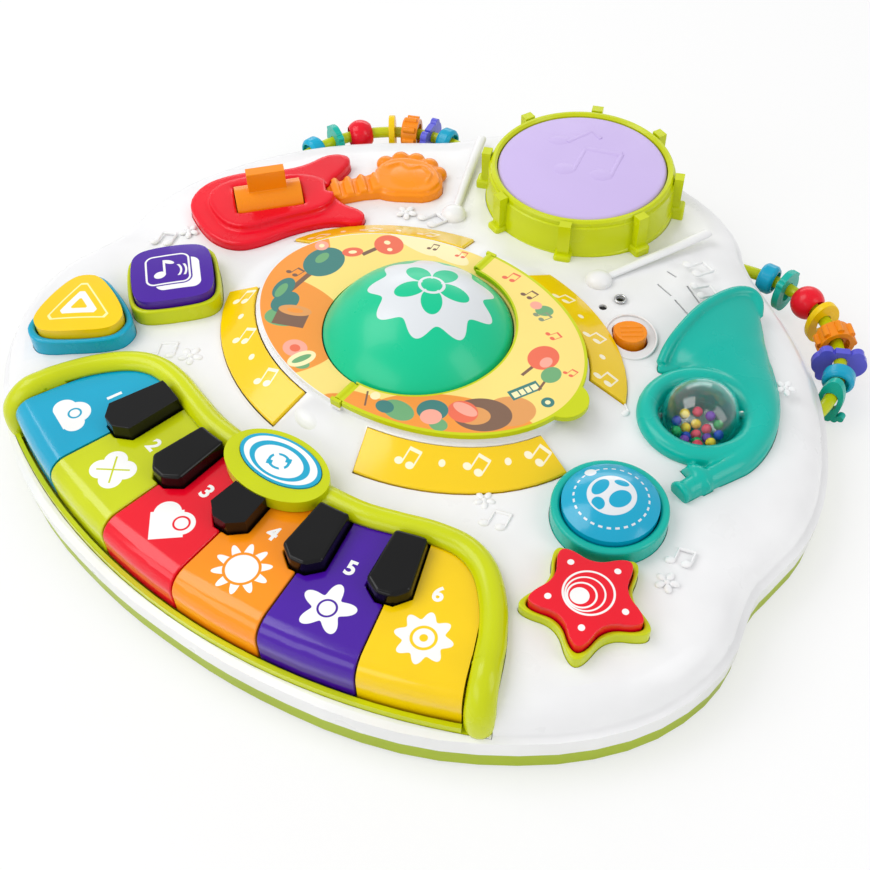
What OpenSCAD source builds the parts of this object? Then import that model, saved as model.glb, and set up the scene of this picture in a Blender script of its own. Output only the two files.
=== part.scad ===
// Musical activity table top: piano, drum, guitar, trumpet, buttons, picture page and bead rails.
// The frame's origin is the middle of the footprint on the floor, +Z is up, and the piano faces -Y.

/* [Casing] */
// Distance from the dome's centre to the front edge of the skirt
front_reach = 201; // [199:1:215]
// Distance from the dome's centre to the back edge of the skirt
back_reach = 233; // [232:1:250]
// Half of the widest part of the skirt
side_reach = 226; // [224:1:245]
// Height of the seam between the lower tray and the upper shell
seam_z = 14.5; // [13:0.5:15]
// Wall of the moulded casing
wall = 2.6; // [2:0.1:3]
// How far the lower tray stands inside the skirt
tray_inset = 0.5; // [0.5:0.5:4]
// Height of the rubber feet
foot_h = 2; // [1:0.5:3]
// Radius of a rubber foot
foot_r = 9; // [6:0.5:12]
// Bore radius of a leg socket
leg_bore_r = 14; // [10:0.5:14.5]
// Depth of a leg socket
leg_bore_depth = 22; // [15:1:23]

/* [Centre] */
// Radius of the big dome button
dome_r = 51; // [46:0.5:52]
// Height of the dome above the picture disc
dome_rise = 28; // [20:1:30]
// Half length of the picture disc along X
disc_a = 97; // [95:0.5:98]
// Half length of the picture disc along Y
disc_b = 68; // [66:0.5:69]
// Thickness of the page that flips over
page_t = 3.2; // [2.5:0.1:4]
// Radius of the page's hinge barrels
barrel_r = 2.3; // [2:0.1:2.4]

/* [Piano] */
// Radius of the piano's front, about the centre that its keys fan out from
key_front_r = 351; // [349:0.5:352]
// Angle from one coloured key to the next
key_step = 8.2; // [7.6:0.1:8.2]
// Side gap between two neighbouring keys
key_gap = 0.9; // [0.6:0.1:1.5]
// Height of the coloured keys' top
key_top_z = 52; // [50:0.5:52]
// Height of the black keys above the coloured ones
black_rise = 8; // [5:0.5:10]
// Width of a black key at its front
black_front_w = 22; // [18:1:24]
// Width of a black key at its back
black_back_w = 15; // [12:1:17]
// Height of the bezel's roof above the coloured keys
bezel_rise = 6; // [5.5:0.5:8]

/* [Buttons] */
// Height of the collars' rim; the star's is lower
collar_z = 58; // [56:0.5:59]
// Height of the caps above the collars' rim
cap_rise = 6; // [4:0.5:8]
// Side gap between a cap and its collar
cap_gap = 0.5; // [0.35:0.05:0.9]
// Wall of a cap
cap_wall = 2.2; // [1.6:0.1:3]

/* [Drum] */
// Radius of the drum head
drum_head_r = 51; // [46:0.5:52]
// Radius of the drum's shell
drum_r = 58; // [57:0.5:60]
// Height of the drum head above the floor
drum_top_z = 69; // [64:1:74]
// Number of lugs around the drum
lug_count = 8; // [6:1:10]

/* [Guitar and trumpet] */
// Radius of the strum roller
strum_r = 12.5; // [9:0.5:13]
// Length of the strum roller
strum_len = 40; // [30:1:41]
// Radius of the clear rattle ball
ball_r = 20; // [17:0.5:20.5]
// Radius of the trumpet's tube where it rings the ball
horn_tube_r = 5; // [4.5:0.25:5.5]

/* [Bead rails] */
// Radius of the rail's arc
rail_arc_r = 73.5; // [73:0.5:75]
// Radius of the rail's rod
rod_r = 3.6; // [3:0.1:4]
// Radial play of a bead on the rod
bead_play = 0.4; // [0.2:0.1:0.8]
// Radius of the round bead
round_bead_r = 10; // [8.5:0.5:10]

/* [Hidden] */
$fn = 64;
eps = 0.01;

fit = 0.3;                                   // clearance between two pieces that seat in each other
pin_play = 0.05;                             // radial play of a hinge pin
dome_y = (front_reach - back_reach) / 2;     // the dome's centre, so that the footprint is centred

// Fan of the piano
fan_y = 158;
key_back_r = 269.5;
key_pivot_r = 272;
key_plate_t = 6;
key_bottom_z = 27.5;
key_nose_r = 11;
key_deep_r = 318;
black_front_r = 314;
bezel_floor_z = 19.5;
bezel_wall = 2.4;
bezel_top_z = key_top_z + bezel_rise;
roof_t = 3.2;
roof_z = bezel_top_z - roof_t;
lip_top_z = 31;
lip_gap = 0.7;
lip_w = 3.2;
ledge_z = 26.6;                              // deck in front of the lip
bezel_front_r = key_front_r + lip_gap + lip_w;
fan_half = 3 * key_step + 0.3;
side_wall = 0.45;                            // thickness of the side walls, as an angle
mode_y = -112;
mode_a = 24;
mode_b = 13;
boss_y = -115;
boss_a = 30;
boss_b = 19;

// Deck
mound_a = 119.5;
mound_b = 92;
mound_low_z = 48;
rim_a = disc_a + 1.5;
rim_b = disc_b + 1.5;
rim_z = 59.5;
disc_top_z = rim_z + 2.8;
pivot_z = disc_top_z + barrel_r;
hinge_y = 61;
barrel_len = 13;
deep_z = 36;                                 // lower end of the pieces that pass through the deck
deck_fall = 0.02;
fall_from_z = 30;

/* ---------- outlines ---------- */

// Cuts the corners of a closed outline once
function cut_corners(p) = [
    for (i = [0:len(p) - 1])
        let (a = p[i], b = p[(i + 1) % len(p)])
            each [0.75 * a + 0.25 * b, 0.25 * a + 0.75 * b]
];
function smooth(p, rounds) = rounds == 0 ? p : smooth(cut_corners(p), rounds - 1);
// Completes a right half, given from front to back, with its mirror image
function both_sides(half) = concat(half, [for (i = [len(half) - 2:-1:1]) [-half[i][0], half[i][1]]]);

sx = side_reach / 226;
fy = front_reach / 201;
by = back_reach / 233;
skirt_half = [
    [0, -201.1 * fy], [30 * sx, -200.5 * fy], [60.5 * sx, -197 * fy], [97 * sx, -190 * fy],
    [133 * sx, -177.3 * fy], [164 * sx, -159.4 * fy], [192 * sx, -137.4 * fy], [213 * sx, -111.7 * fy],
    [224.6 * sx, -84], [227.4 * sx, -58.4], [222.5 * sx, -37.6], [220.2 * sx, -22], [223 * sx, -6],
    [226.3 * sx, 18], [224 * sx, 41.5], [217 * sx, 64], [207.5 * sx, 84.5], [197 * sx, 103 * by],
    [181 * sx, 125 * by], [160 * sx, 146 * by], [135.5 * sx, 165 * by], [114.4 * sx, 179.7 * by],
    [103.2 * sx, 190.5 * by], [95.9 * sx, 201.5 * by], [82.2 * sx, 214 * by], [62 * sx, 224 * by],
    [36 * sx, 231 * by], [0, 233.3 * by]
];
skirt = cut_corners(both_sides(skirt_half));

// The deck falls towards the back; the fall fades out down the shoulder
function fall(y, z) = deck_fall * y * min(1, max(0, (z - fall_from_z) / 12));
function inset_ring(inset, z) = [
    for (p = skirt) let (k = 1 - inset / norm(p)) [p[0] * k, p[1] * k, z - fall(p[1] * k, z)]
];
function oval_ring(a, b, z) = [
    for (p = skirt)
        let (u = p / norm(p), r = 1 / sqrt(pow(u[0] / a, 2) + pow(u[1] / b, 2)))
            [u[0] * r, u[1] * r, z]
];
function oval(a, b) = [for (t = [0:4:356]) [a * cos(t), b * sin(t)]];

// Rounded polygon with tips at tip_r and waists between them at waist_r
function rounded_star(tips, tip_r, waist_r) = smooth(
    [for (i = [0:2 * tips - 1])
        let (r = i % 2 == 0 ? tip_r : waist_r, t = i * 180 / tips)
            each i % 2 == 0 ? [r * [cos(t - 6), sin(t - 6)], r * [cos(t + 6), sin(t + 6)]]
                            : [r * [cos(t), sin(t)]]], 3);

// Solid between rings that lie over each other
module loft(rings) {
    n = len(rings[0]);
    last = (len(rings) - 1) * n;
    polyhedron(
        points = [for (r = rings) each r],
        faces = concat(
            [[for (i = [0:n - 1]) i]],
            [for (k = [0:len(rings) - 2]) for (i = [0:n - 1])
                let (a = k * n + i, b = k * n + (i + 1) % n)
                    each [[a, a + n, b], [b, a + n, b + n]]],
            [[for (i = [n - 1:-1:0]) last + i]]
        )
    );
}

module plan(x = 0, y = 0, turn = 0) translate([x, dome_y + y, 0]) rotate(turn) children();
module fan(turn = 0) translate([0, dome_y + fan_y, 0]) rotate(270 + turn) children();
module slab(z0, z1) translate([0, 0, z0]) linear_extrude(z1 - z0) children();
module both() {
    children();
    mirror([1, 0, 0]) children();
}
module quarter_copies() for (i = [0:1]) for (j = [0:1]) mirror([i, 0, 0]) mirror([0, j, 0]) children();

/* ---------- casing ---------- */

screw_spots = [[205, -70], [206, 22], [78, 199]];
screw_r = 1.5;
screw_head_r = 3.2;
boss_r = 5;
leg_spots = [[162, -100], [160, 82]];
foot_spots = [[150, -140], [150, 110]];
tray_z = foot_h;
floor_t = 2.5;
floor_top = tray_z + floor_t;
box_x = 55;
box_y = 51;
box_wall = 2.4;
box_roof_z = 21;
door_t = 2;
cell_r = 7.1;
cell_len = 50;
cell_pitch = 16;
contact_t = 0.5;
board_x = 90;
board_y = 46;
board_z = 14;
board_at = [0, 84];
post_inset = 6;
speaker_at = [90, 123];
speaker_r = 19.5;
speaker_z = 33;
piano_posts = [[45, -172], [120, -140]];

module screw_places() both() for (p = screw_spots) plan(p[0], p[1]) children();
module leg_places() both() for (p = leg_spots) plan(p[0], p[1]) children();

module base_shell() color("yellowgreen") difference() {
    union() {
        difference() {
            plan() loft([inset_ring(tray_inset + 0.8, tray_z), inset_ring(tray_inset, tray_z + 1.5),
                         inset_ring(tray_inset, seam_z)]);
            plan() loft([inset_ring(tray_inset + 1 + wall, floor_top),
                         inset_ring(tray_inset + wall, floor_top + 1),
                         inset_ring(tray_inset + wall, seam_z + 1)]);
        }
        screw_places() slab(floor_top - 1, seam_z - eps) circle(boss_r);
        leg_places() slab(floor_top - 1, tray_z + leg_bore_depth + wall) circle(leg_bore_r + wall);
        both() for (p = piano_posts) plan(p[0], p[1]) slab(floor_top - 1, bezel_floor_z) circle(4);
        plan() slab(floor_top - 1, box_roof_z)
            square([box_x + 2 * box_wall, box_y + 2 * box_wall], center = true);
        plan(board_at[0], board_at[1]) for (i = [-1, 1]) for (j = [-1, 1])
            translate([i * (board_x / 2 - post_inset), j * (board_y / 2 - post_inset), 0])
                slab(floor_top - 1, board_z) circle(3);
    }
    screw_places() {
        slab(0, seam_z + 1) circle(screw_r + fit);
        slab(0, tray_z + 3) circle(screw_head_r + fit);
    }
    leg_places() slab(tray_z - 1, tray_z + leg_bore_depth) circle(leg_bore_r);
    plan() slab(tray_z - 1, box_roof_z - box_wall) square([box_x, box_y], center = true);
    plan() slab(tray_z - 1, tray_z + door_t) square([box_x + 4, box_y + 4], center = true);
}

module battery_door() color("olivedrab") plan() {
    slab(tray_z, tray_z + door_t - fit / 2)
        square([box_x + 4 - 2 * fit, box_y + 4 - 2 * fit], center = true);
}

module batteries() color("dimgray") for (i = [-1:1])
    plan(0, i * cell_pitch) translate([0, 0, tray_z + door_t + fit + cell_r]) rotate([0, 90, 0]) {
        cylinder(r = cell_r, h = cell_len, center = true);
        translate([0, 0, i * i > 0 ? cell_len / 2 : -cell_len / 2]) cylinder(r = 2.7, h = 2, center = true);
    }

module battery_contacts() color("silver") for (i = [-1:1]) for (s = [-1, 1])
    plan(s * (box_x - contact_t) / 2, i * cell_pitch)
        translate([0, 0, tray_z + door_t + fit + cell_r])
            cube([contact_t, 10, 10], center = true);

module rubber_feet() color("dimgray") both() for (p = foot_spots)
    plan(p[0], p[1]) slab(0, foot_h) circle(foot_r);

module case_screws() color("silver") screw_places() {
    slab(tray_z + 1, tray_z + 3) circle(screw_head_r);
    slab(tray_z + 3 - eps, seam_z + 11) circle(screw_r - pin_play);
}

module main_board() color("darkgreen") plan(board_at[0], board_at[1]) {
    slab(board_z, board_z + 1.6) square([board_x, board_y], center = true);
    translate([-14, -6, 0]) slab(board_z + 1.6 - eps, board_z + 4) square([16, 12]);
    translate([18, 8, 0]) slab(board_z + 1.6 - eps, board_z + 9) circle(4);
}

module speaker() color("dimgray") plan(speaker_at[0], speaker_at[1]) difference() {
    union() {
        slab(speaker_z + 5, speaker_z + 7) circle(speaker_r);
        translate([0, 0, speaker_z]) cylinder(r1 = 9, r2 = speaker_r - 3, h = 5 + eps);
        slab(speaker_z - 7, speaker_z + eps) circle(9);
    }
    translate([0, 0, speaker_z + 3]) cylinder(r1 = 4, r2 = speaker_r - 3, h = 5);
}

// Outer and inner skins of the deck: inset from the skirt and height
outer_steps = [[0, seam_z], [0, 25.5], [3.5, 26.5], [4.2, 30], [6, 34.5], [10, 39], [17, 42.6],
               [28, 45.2], [45, 46.8]];
inner_steps = [[0, seam_z - 1], [0, 23.5], [3.5, 24.5], [4.2, 29], [6.4, 33], [10, 36.8],
               [17, 40.1], [28, 42.6], [42, 44.1]];

module deck_outside() plan() loft(concat(
    [for (s = outer_steps) inset_ring(s[0], s[1])],
    [oval_ring(mound_a, mound_b, mound_low_z), oval_ring(rim_a, rim_b, rim_z)]));

module deck_inside() plan() loft(concat(
    [for (s = inner_steps) inset_ring(s[0] + wall, s[1])],
    [oval_ring(mound_a - 1, mound_b - 1, mound_low_z - wall),
     oval_ring(rim_a - 1, rim_b - 1, rim_z - wall)]));

module top_shell() color("white") difference() {
    deck_outside();
    difference() {
        deck_inside();
        screw_places() slab(0, 60) circle(boss_r - 0.8);
        plan(speaker_at[0], speaker_at[1]) slab(speaker_z, 60) difference() {
            circle(speaker_r + fit + 2);
            circle(speaker_r + fit);
        }
    }
    screw_places() {
        slab(0, seam_z + fit) circle(boss_r + fit);
        slab(0, seam_z + 12) circle(screw_r);
    }
    slab(bezel_floor_z - fit, 80) offset(delta = fit) bezel_outline();
    fan() rotate(-fan_half) rotate_extrude(angle = 2 * fan_half, $fn = 120)
        translate([key_front_r, ledge_z]) square([20, 40]);
    plan() slab(40, 80) circle(dome_r + 0.8);
    plan() quarter_copies() window_patch(window_t0 - 0.3, window_t1 + 0.3, -0.025, 0.965, -8, 8);
    for (b = button_list) slab(20, 80) offset(delta = fit) button_place(b) polygon(collar_outer(b));
    slab(20, 80) offset(delta = fit) guitar_outline();
    slab(20, 80) offset(delta = fit) drum_outline();
    slab(20, 80) offset(delta = fit) trumpet_outline();
    plan(ball_at[0], ball_at[1]) slab(20, 80) circle(ball_r + cup_gap + wall);
    plan(beak_at[0], beak_at[1], beak_turn) slab(20, 80) beak_slot();
    for (s = slits) plan(s[0], s[1], s[2]) slab(20, 80) square([s[3], 1.2], center = true);
    for (e = eye_holes) plan(e[0], e[1]) slab(20, 80) circle(e[2]);
    both() rail_rod(rod_r + fit);
}

/* ---------- centre ---------- */

window_t0 = 14;
window_t1 = 73.5;

function mound_point(t, s, h) =
    let (u = [cos(t), sin(t)],
         r0 = 1 / sqrt(pow(u[0] / mound_a, 2) + pow(u[1] / mound_b, 2)),
         r1 = 1 / sqrt(pow(u[0] / rim_a, 2) + pow(u[1] / rim_b, 2)),
         r = r0 + (r1 - r0) * s)
        [u[0] * (r + h / 3), u[1] * (r + h / 3), mound_low_z + (rim_z - mound_low_z) * s + h];

// Piece of the mound's slope between two angles, from height h0 to h1 over the slope
module window_patch(t0, t1, s0, s1, h0, h1) {
    steps = 14;
    n = 4;
    pts = [for (k = [0:steps]) let (t = t0 + (t1 - t0) * k / steps)
        each [mound_point(t, s0, h0), mound_point(t, s1, h0), mound_point(t, s1, h1),
              mound_point(t, s0, h1)]];
    polyhedron(
        points = pts,
        faces = concat(
            [[0, 1, 2, 3]],
            [for (k = [0:steps - 1]) for (i = [0:n - 1])
                let (a = k * n + i, b = k * n + (i + 1) % n)
                    each [[a, a + n, b], [b, a + n, b + n]]],
            [[for (i = [n - 1:-1:0]) steps * n + i]]
        )
    );
}

module light_windows() color("gold") difference() {
    plan() quarter_copies() window_patch(window_t0, window_t1, 0, 0.94, -3, 1.5);
    slab(deep_z, 80) offset(delta = fit) guitar_outline();
}

module picture_disc() color("khaki") plan() difference() {
    union() {
        slab(rim_z, disc_top_z) polygon(oval(disc_a, disc_b));
        for (s = [-1, 1]) translate([0, s * (hinge_y + barrel_len / 2 + fit), 0]) {
            translate([-3, s > 0 ? 0 : -2, rim_z + 1]) cube([6, 2, pivot_z + 1.8 - rim_z - 1]);
            translate([0, 0, pivot_z]) rotate([s * 90, 0, 0]) cylinder(r = 1, h = 6);
        }
    }
    slab(rim_z - 1, disc_top_z + 1) circle(dome_r + 0.8);
}

dome_ball_r = (dome_r * dome_r + dome_rise * dome_rise) / (2 * dome_rise);

module dome_button() color("mediumspringgreen") plan() {
    difference() {
        union() {
            intersection() {
                translate([0, 0, disc_top_z + dome_rise - dome_ball_r]) sphere(dome_ball_r, $fn = 120);
                slab(disc_top_z, disc_top_z + dome_rise + 1) circle(dome_r);
            }
            slab(rim_z - wall - 2.5, disc_top_z + eps) circle(dome_r);
            slab(rim_z - wall - 2.5, rim_z - wall - 0.5) circle(dome_r + 2.5);
        }
        intersection() {
            translate([0, 0, disc_top_z + dome_rise - dome_ball_r]) sphere(dome_ball_r - wall, $fn = 120);
            slab(rim_z - wall - 4, disc_top_z + dome_rise) circle(dome_r - wall);
        }
    }
}

page_gap = 0.6;
tab_r = 13;

module flip_page() color("khaki") plan() difference() {
    union() {
        difference() {
            translate([0, 0, pivot_z - page_t / 2]) linear_extrude(page_t) difference() {
                union() {
                    polygon(oval(disc_a + 0.8, disc_b + 0.8));
                    translate([disc_a - 4, -1]) circle(tab_r);
                }
                circle(dome_r + 1.6);
                translate([-200, -200]) square([200 + page_gap, 400]);
            }
            for (s = [-1, 1]) translate([-1, s * hinge_y - (barrel_len + 2) / 2, 0])
                cube([barrel_r + 1.4, barrel_len + 2, 90]);
            for (s = [-1, 1]) translate([-1, s > 0 ? hinge_y + barrel_len / 2 : -hinge_y - barrel_len / 2 - 4, 0])
                cube([4.6, 4, 90]);
        }
        for (s = [-1, 1]) translate([0, s * hinge_y, pivot_z]) {
            rotate([90, 0, 0]) cylinder(r = barrel_r, h = barrel_len, center = true);
            translate([0, -barrel_len / 2, -page_t / 2]) cube([6, barrel_len, page_t]);
        }
    }
    for (s = [-1, 1]) translate([0, s * hinge_y, pivot_z])
        rotate([90, 0, 0]) cylinder(r = 1 + pin_play, h = barrel_len + 1, center = true);
}

/* ---------- piano ---------- */

// Middle line of the bezel's tube, from the mode button round to the front corner
tube_line = [
    [0, -112], [26, -112], [48, -110], [67, -104.5], [84, -99], [101, -97], [116, -102.5],
    [130, -116], [141, -133], [148, -150], [156, -168], [180, -222], [200, -268]
];
tube_w = 13.4;
tube_rim = 2.4;
// The tube's line moved sideways, outwards for a positive amount
function side_line(d) = [for (i = [0:len(tube_line) - 1])
    let (a = tube_line[max(i - 1, 0)], b = tube_line[min(i + 1, len(tube_line) - 1)],
         u = i == 0 ? [1, 0] : (b - a) / norm(b - a))
        tube_line[i] + d * [-u[1], u[0]]];
// Both sides of the bezel, closed in front of the keys, so that it runs clockwise
function bezel_area(d) = let (half = concat(side_line(d), [[0, -300]]))
    concat(half, [for (i = [len(half) - 2:-1:1]) [-half[i][0], half[i][1]]]);

module fan_disc(r) translate([0, dome_y + fan_y]) circle(r, $fn = 180);
module at_dome() translate([0, dome_y]) children();
module boss_oval(grow) at_dome() translate([0, boss_y]) polygon(oval(boss_a + grow, boss_b + grow));
module mode_oval(grow) at_dome() translate([0, mode_y]) polygon(oval(mode_a + grow, mode_b + grow));

module bezel_outline() union() {
    intersection() {
        at_dome() polygon(smooth(bezel_area(tube_w / 2), 2));
        fan_disc(bezel_front_r);
    }
    boss_oval(0);
}
module inside_tube() at_dome() polygon(smooth(bezel_area(-tube_w / 2), 2));
module key_opening() difference() {
    intersection() {
        inside_tube();
        fan_disc(bezel_front_r - lip_w);
    }
    boss_oval(0);
}
module fan_sector(half, r) translate([0, dome_y + fan_y])
    polygon([[0, 0], [r * sin(-half), -r * cos(half)], [0, -r / cos(half)], [r * sin(half), -r * cos(half)]]);

nose_r = 22;
module bezel_roof(inset) difference() {
    offset(delta = -inset) bezel_outline();
    offset(delta = inset) key_opening();
    boss_oval(-2.5);
}

module piano_bezel() color("yellowgreen") difference() {
    union() {
        slab(bezel_floor_z, bezel_floor_z + bezel_wall) intersection() {
            bezel_outline();
            fan_sector(fan_half + side_wall, 420);
        }
        slab(bezel_floor_z, bezel_top_z) difference() {
            bezel_outline();
            offset(delta = -bezel_wall) bezel_outline();
        }
        slab(bezel_floor_z, bezel_top_z) intersection() {
            bezel_outline();
            difference() {
                fan_sector(fan_half + side_wall, 420);
                fan_sector(fan_half, 420);
                fan_disc(key_back_r + 12);
            }
        }
        slab(roof_z, bezel_top_z - tube_rim) bezel_roof(0);
        slab(bezel_top_z - tube_rim - eps, bezel_top_z - tube_rim / 3) bezel_roof(tube_rim / 3);
        slab(bezel_top_z - tube_rim / 3 - eps, bezel_top_z) bezel_roof(tube_rim);
        slab(bezel_floor_z, bezel_top_z - tube_rim) difference() {
            bezel_outline();
            inside_tube();
            fan_disc(bezel_front_r - nose_r);
        }
        slab(roof_z, bezel_top_z + 2) difference() {
            boss_oval(0);
            boss_oval(-2.5);
        }
        slab(bezel_top_z - 0.6, bezel_top_z + 2) difference() {
            boss_oval(-1);
            mode_oval(fit);
        }
        slab(bezel_floor_z, key_top_z - key_plate_t - fit) intersection() {
            bezel_outline();
            fan_disc(key_pivot_r + 2);
        }
    }
    // The front stays open over the lip, and the side tubes slope down to it
    slab(lip_top_z, 120) difference() {
        inside_tube();
        fan_disc(key_deep_r + 5);
    }
    fan() rotate(-40) rotate_extrude(angle = 80, $fn = 120)
        translate([bezel_front_r - nose_r, bezel_top_z - nose_r]) difference() {
            square([40, 40]);
            circle(nose_r);
        }
}

module mode_button() color("deepskyblue") {
    slab(bezel_top_z - 3.4, bezel_top_z + 2.8) mode_oval(0);
    slab(bezel_top_z - 3.4, bezel_top_z - 0.9) intersection() {
        mode_oval(1.5);
        boss_oval(-2.5 - fit);
    }
}

// Side view of a coloured key, radius outwards and height up
key_profile = concat(
    [[key_back_r, key_top_z - key_plate_t], [key_back_r, key_top_z]],
    [for (t = [90:-15:0]) [key_front_r - key_nose_r + key_nose_r * cos(t),
                           key_top_z - key_nose_r + key_nose_r * sin(t)]],
    [[key_front_r, key_bottom_z], [key_deep_r, key_bottom_z], [key_deep_r, key_top_z - key_plate_t]]
);
key_hollow = [
    [key_deep_r + wall, key_bottom_z - 1], [key_deep_r + wall, key_top_z - wall],
    [key_front_r - key_nose_r, key_top_z - wall], [key_front_r - wall, key_top_z - key_nose_r],
    [key_front_r - wall, key_bottom_z - 1]
];

function black_print(grow) = [
    [key_back_r - grow, -black_back_w / 2 - grow], [black_front_r - 6, -black_front_w / 2 - grow],
    [black_front_r + grow, -4 - grow / 2], [black_front_r + grow, 4 + grow / 2],
    [black_front_r - 6, black_front_w / 2 + grow], [key_back_r - grow, black_back_w / 2 + grow]
];

module coloured_key(i) {
    turn = (i - 2.5) * key_step;
    span = key_step - key_gap / key_front_r * 180 / PI;
    side = wall / key_deep_r * 180 / PI;
    difference() {
        fan(turn - span / 2) rotate_extrude(angle = span, $fn = 180) polygon(key_profile);
        fan(turn - span / 2 + side) rotate_extrude(angle = span - 2 * side, $fn = 180) polygon(key_hollow);
        if (i == 0 || i == 5) slab(key_bottom_z - 1, key_top_z + 1) difference() {
            fan_disc(key_front_r + 20);
            offset(delta = -bezel_wall - 0.6) bezel_outline();
            fan_disc(key_back_r - 10);
        }
        if (i == 0 || i == 5) slab(key_bottom_z - 1, key_top_z + 1) difference() {
            fan_disc(key_front_r + 20);
            offset(delta = -lip_gap) inside_tube();
            fan_disc(bezel_front_r - nose_r - 3);
        }
        for (j = [-1, 1]) if (i + j >= 0 && i + j <= 5)
            fan(turn + j * key_step / 2) slab(key_bottom_z, key_top_z + 1) polygon(black_print(0.7));
    }
}

module black_key(i) {
    turn = (i - 3) * key_step;
    color("black") {
        fan(turn) slab(key_top_z - key_plate_t, key_top_z) polygon(black_print(0));
        slab(key_top_z - eps, key_top_z + black_rise) intersection() {
            fan(turn) polygon(black_print(0));
            offset(delta = -0.7) key_opening();
        }
    }
}

/* ---------- deck buttons ---------- */

// Name, place, turn, cap outline and collar outline
function square_shape(r) = smooth([for (t = [0:90:270]) each
    [r * [cos(t - 17), sin(t - 17)], r * 1.08 * [cos(t), sin(t)], r * [cos(t + 17), sin(t + 17)]]], 2);
function triangle_shape(r) = smooth([for (t = [0:120:240]) each
    [r * [cos(t - 17), sin(t - 17)], r * 1.04 * [cos(t), sin(t)], r * [cos(t + 17), sin(t + 17)],
     r * 0.78 * [cos(t + 60), sin(t + 60)]]], 2);
function star_shape(r) = rounded_star(5, r * 1.12, r * 0.66);
function round_shape(r) = [for (t = [0:5:355]) r * [cos(t), sin(t)]];

button_list = ["square", "triangle", "star", "globe"];
square_r = 26;
triangle_r = 25.5;
star_r = 24.4;
globe_r = 23.5;
collar_w = 3.5;
globe_crown_r = 44;
flat_crown_r = 220;
function cap_outer(b, grow = 0) =
    b == "square" ? square_shape(square_r + grow) :
    b == "triangle" ? triangle_shape(triangle_r + grow * 1.35) :
    b == "star" ? star_shape(star_r + grow * 1.5) : round_shape(globe_r + grow);
function collar_outer(b) = cap_outer(b, b == "globe" ? collar_w + 1.5 : b == "star" ? collar_w - 1 : collar_w);

module button_place(b) {
    if (b == "square") plan(-140, -45, 3) children();
    if (b == "triangle") plan(-161.4, -94.4, 9) children();
    if (b == "star") plan(163, -89, 4) children();
    if (b == "globe") plan(144.5, -39.5, 0) children();
}

star_drop = 4;
globe_lift = 3;
function rim_height(b) = collar_z - (b == "star" ? star_drop : 0);

module collar(b) button_place(b) slab(deep_z, rim_height(b)) difference() {
    polygon(collar_outer(b));
    polygon(cap_outer(b, cap_gap));
}

// The cap's top is a slice of a big ball, and the hollow under it follows the same ball
module cap(b) button_place(b) {
    ball_top = rim_height(b) + cap_rise + (b == "globe" ? globe_lift : 0);
    r = b == "globe" ? globe_crown_r : flat_crown_r;
    difference() {
        intersection() {
            slab(deep_z - fit - 2, ball_top + 1) polygon(cap_outer(b));
            translate([0, 0, ball_top - r]) sphere(r, $fn = 160);
        }
        intersection() {
            slab(deep_z - fit - 3, ball_top) polygon(cap_outer(b, -cap_wall));
            translate([0, 0, ball_top - r]) sphere(r - cap_wall, $fn = 160);
        }
    }
    slab(deep_z - fit - 2, deep_z - fit) difference() {
        polygon(cap_outer(b, 2));
        polygon(cap_outer(b, -cap_wall));
    }
}

/* ---------- guitar ---------- */

guitar_pts = [
    [-170, 4], [-152, -2], [-136, 1], [-127, 12], [-119, 32], [-105, 52], [-88, 60], [-93, 71],
    [-110, 68], [-122, 73], [-131, 80], [-130, 93], [-134, 109], [-149, 104], [-154, 82],
    [-168, 67], [-183, 54], [-193, 34], [-188, 14]
];
plateau_pts = [
    [-166, 14], [-150, 9], [-137, 15], [-127, 35], [-112, 56], [-116, 70], [-128, 77],
    [-142, 75], [-158, 62], [-173, 50], [-181, 34], [-178, 22]
];
guitar_turn = 49;
strum_at = [-148, 44.5];
strum_z = 50.5;
strum_pin_r = 1.6;
strum_tab_l = 23;
strum_tab_h = 12;
strum_tab_w = 7;
neck_pts = [
    [-132, 78], [-119, 66], [-101, 90], [-92, 92], [-81, 99], [-73, 104], [-69, 115], [-76, 126],
    [-90, 133], [-106, 129], [-115, 120], [-116, 109], [-113, 103]
];
guitar_top_z = 53;
plateau_z = 57;
neck_z = 53.5;

module guitar_body_outline() at_dome() polygon(smooth(guitar_pts, 2));
module neck_outline() at_dome() polygon(smooth(neck_pts, 1));
module guitar_outline() {
    guitar_body_outline();
    neck_outline();
}

module guitar_body() color("crimson") difference() {
    union() {
        slab(deep_z, guitar_top_z) guitar_body_outline();
        slab(guitar_top_z - eps, plateau_z) at_dome() polygon(smooth(plateau_pts, 2));
    }
    slab(deep_z - 1, guitar_top_z - wall) offset(delta = -wall) guitar_body_outline();
    slab(deep_z - 1, plateau_z + 1) offset(delta = fit) neck_outline();
    plan(strum_at[0], strum_at[1], guitar_turn) {
        slab(deep_z - 1, plateau_z + 1) square([strum_len + 1, 2 * strum_r + 1.4], center = true);
        translate([0, 0, strum_z]) rotate([0, 90, 0])
            cylinder(r = strum_pin_r + pin_play, h = strum_len + 9, center = true);
    }
}

module guitar_neck() color("darkorange") {
    slab(deep_z, neck_z - 2) neck_outline();
    slab(neck_z - 2 - eps, neck_z) intersection() {
        offset(delta = -2) neck_outline();
        plan(-94, 114, 0) circle(21);
    }
    slab(neck_z - 2 - eps, neck_z) intersection() {
        neck_outline();
        for (k = [0:3]) plan(-121.5 + k * 5.4, 76 + k * 6.2, guitar_turn) square([5, 13], center = true);
    }
}

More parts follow.
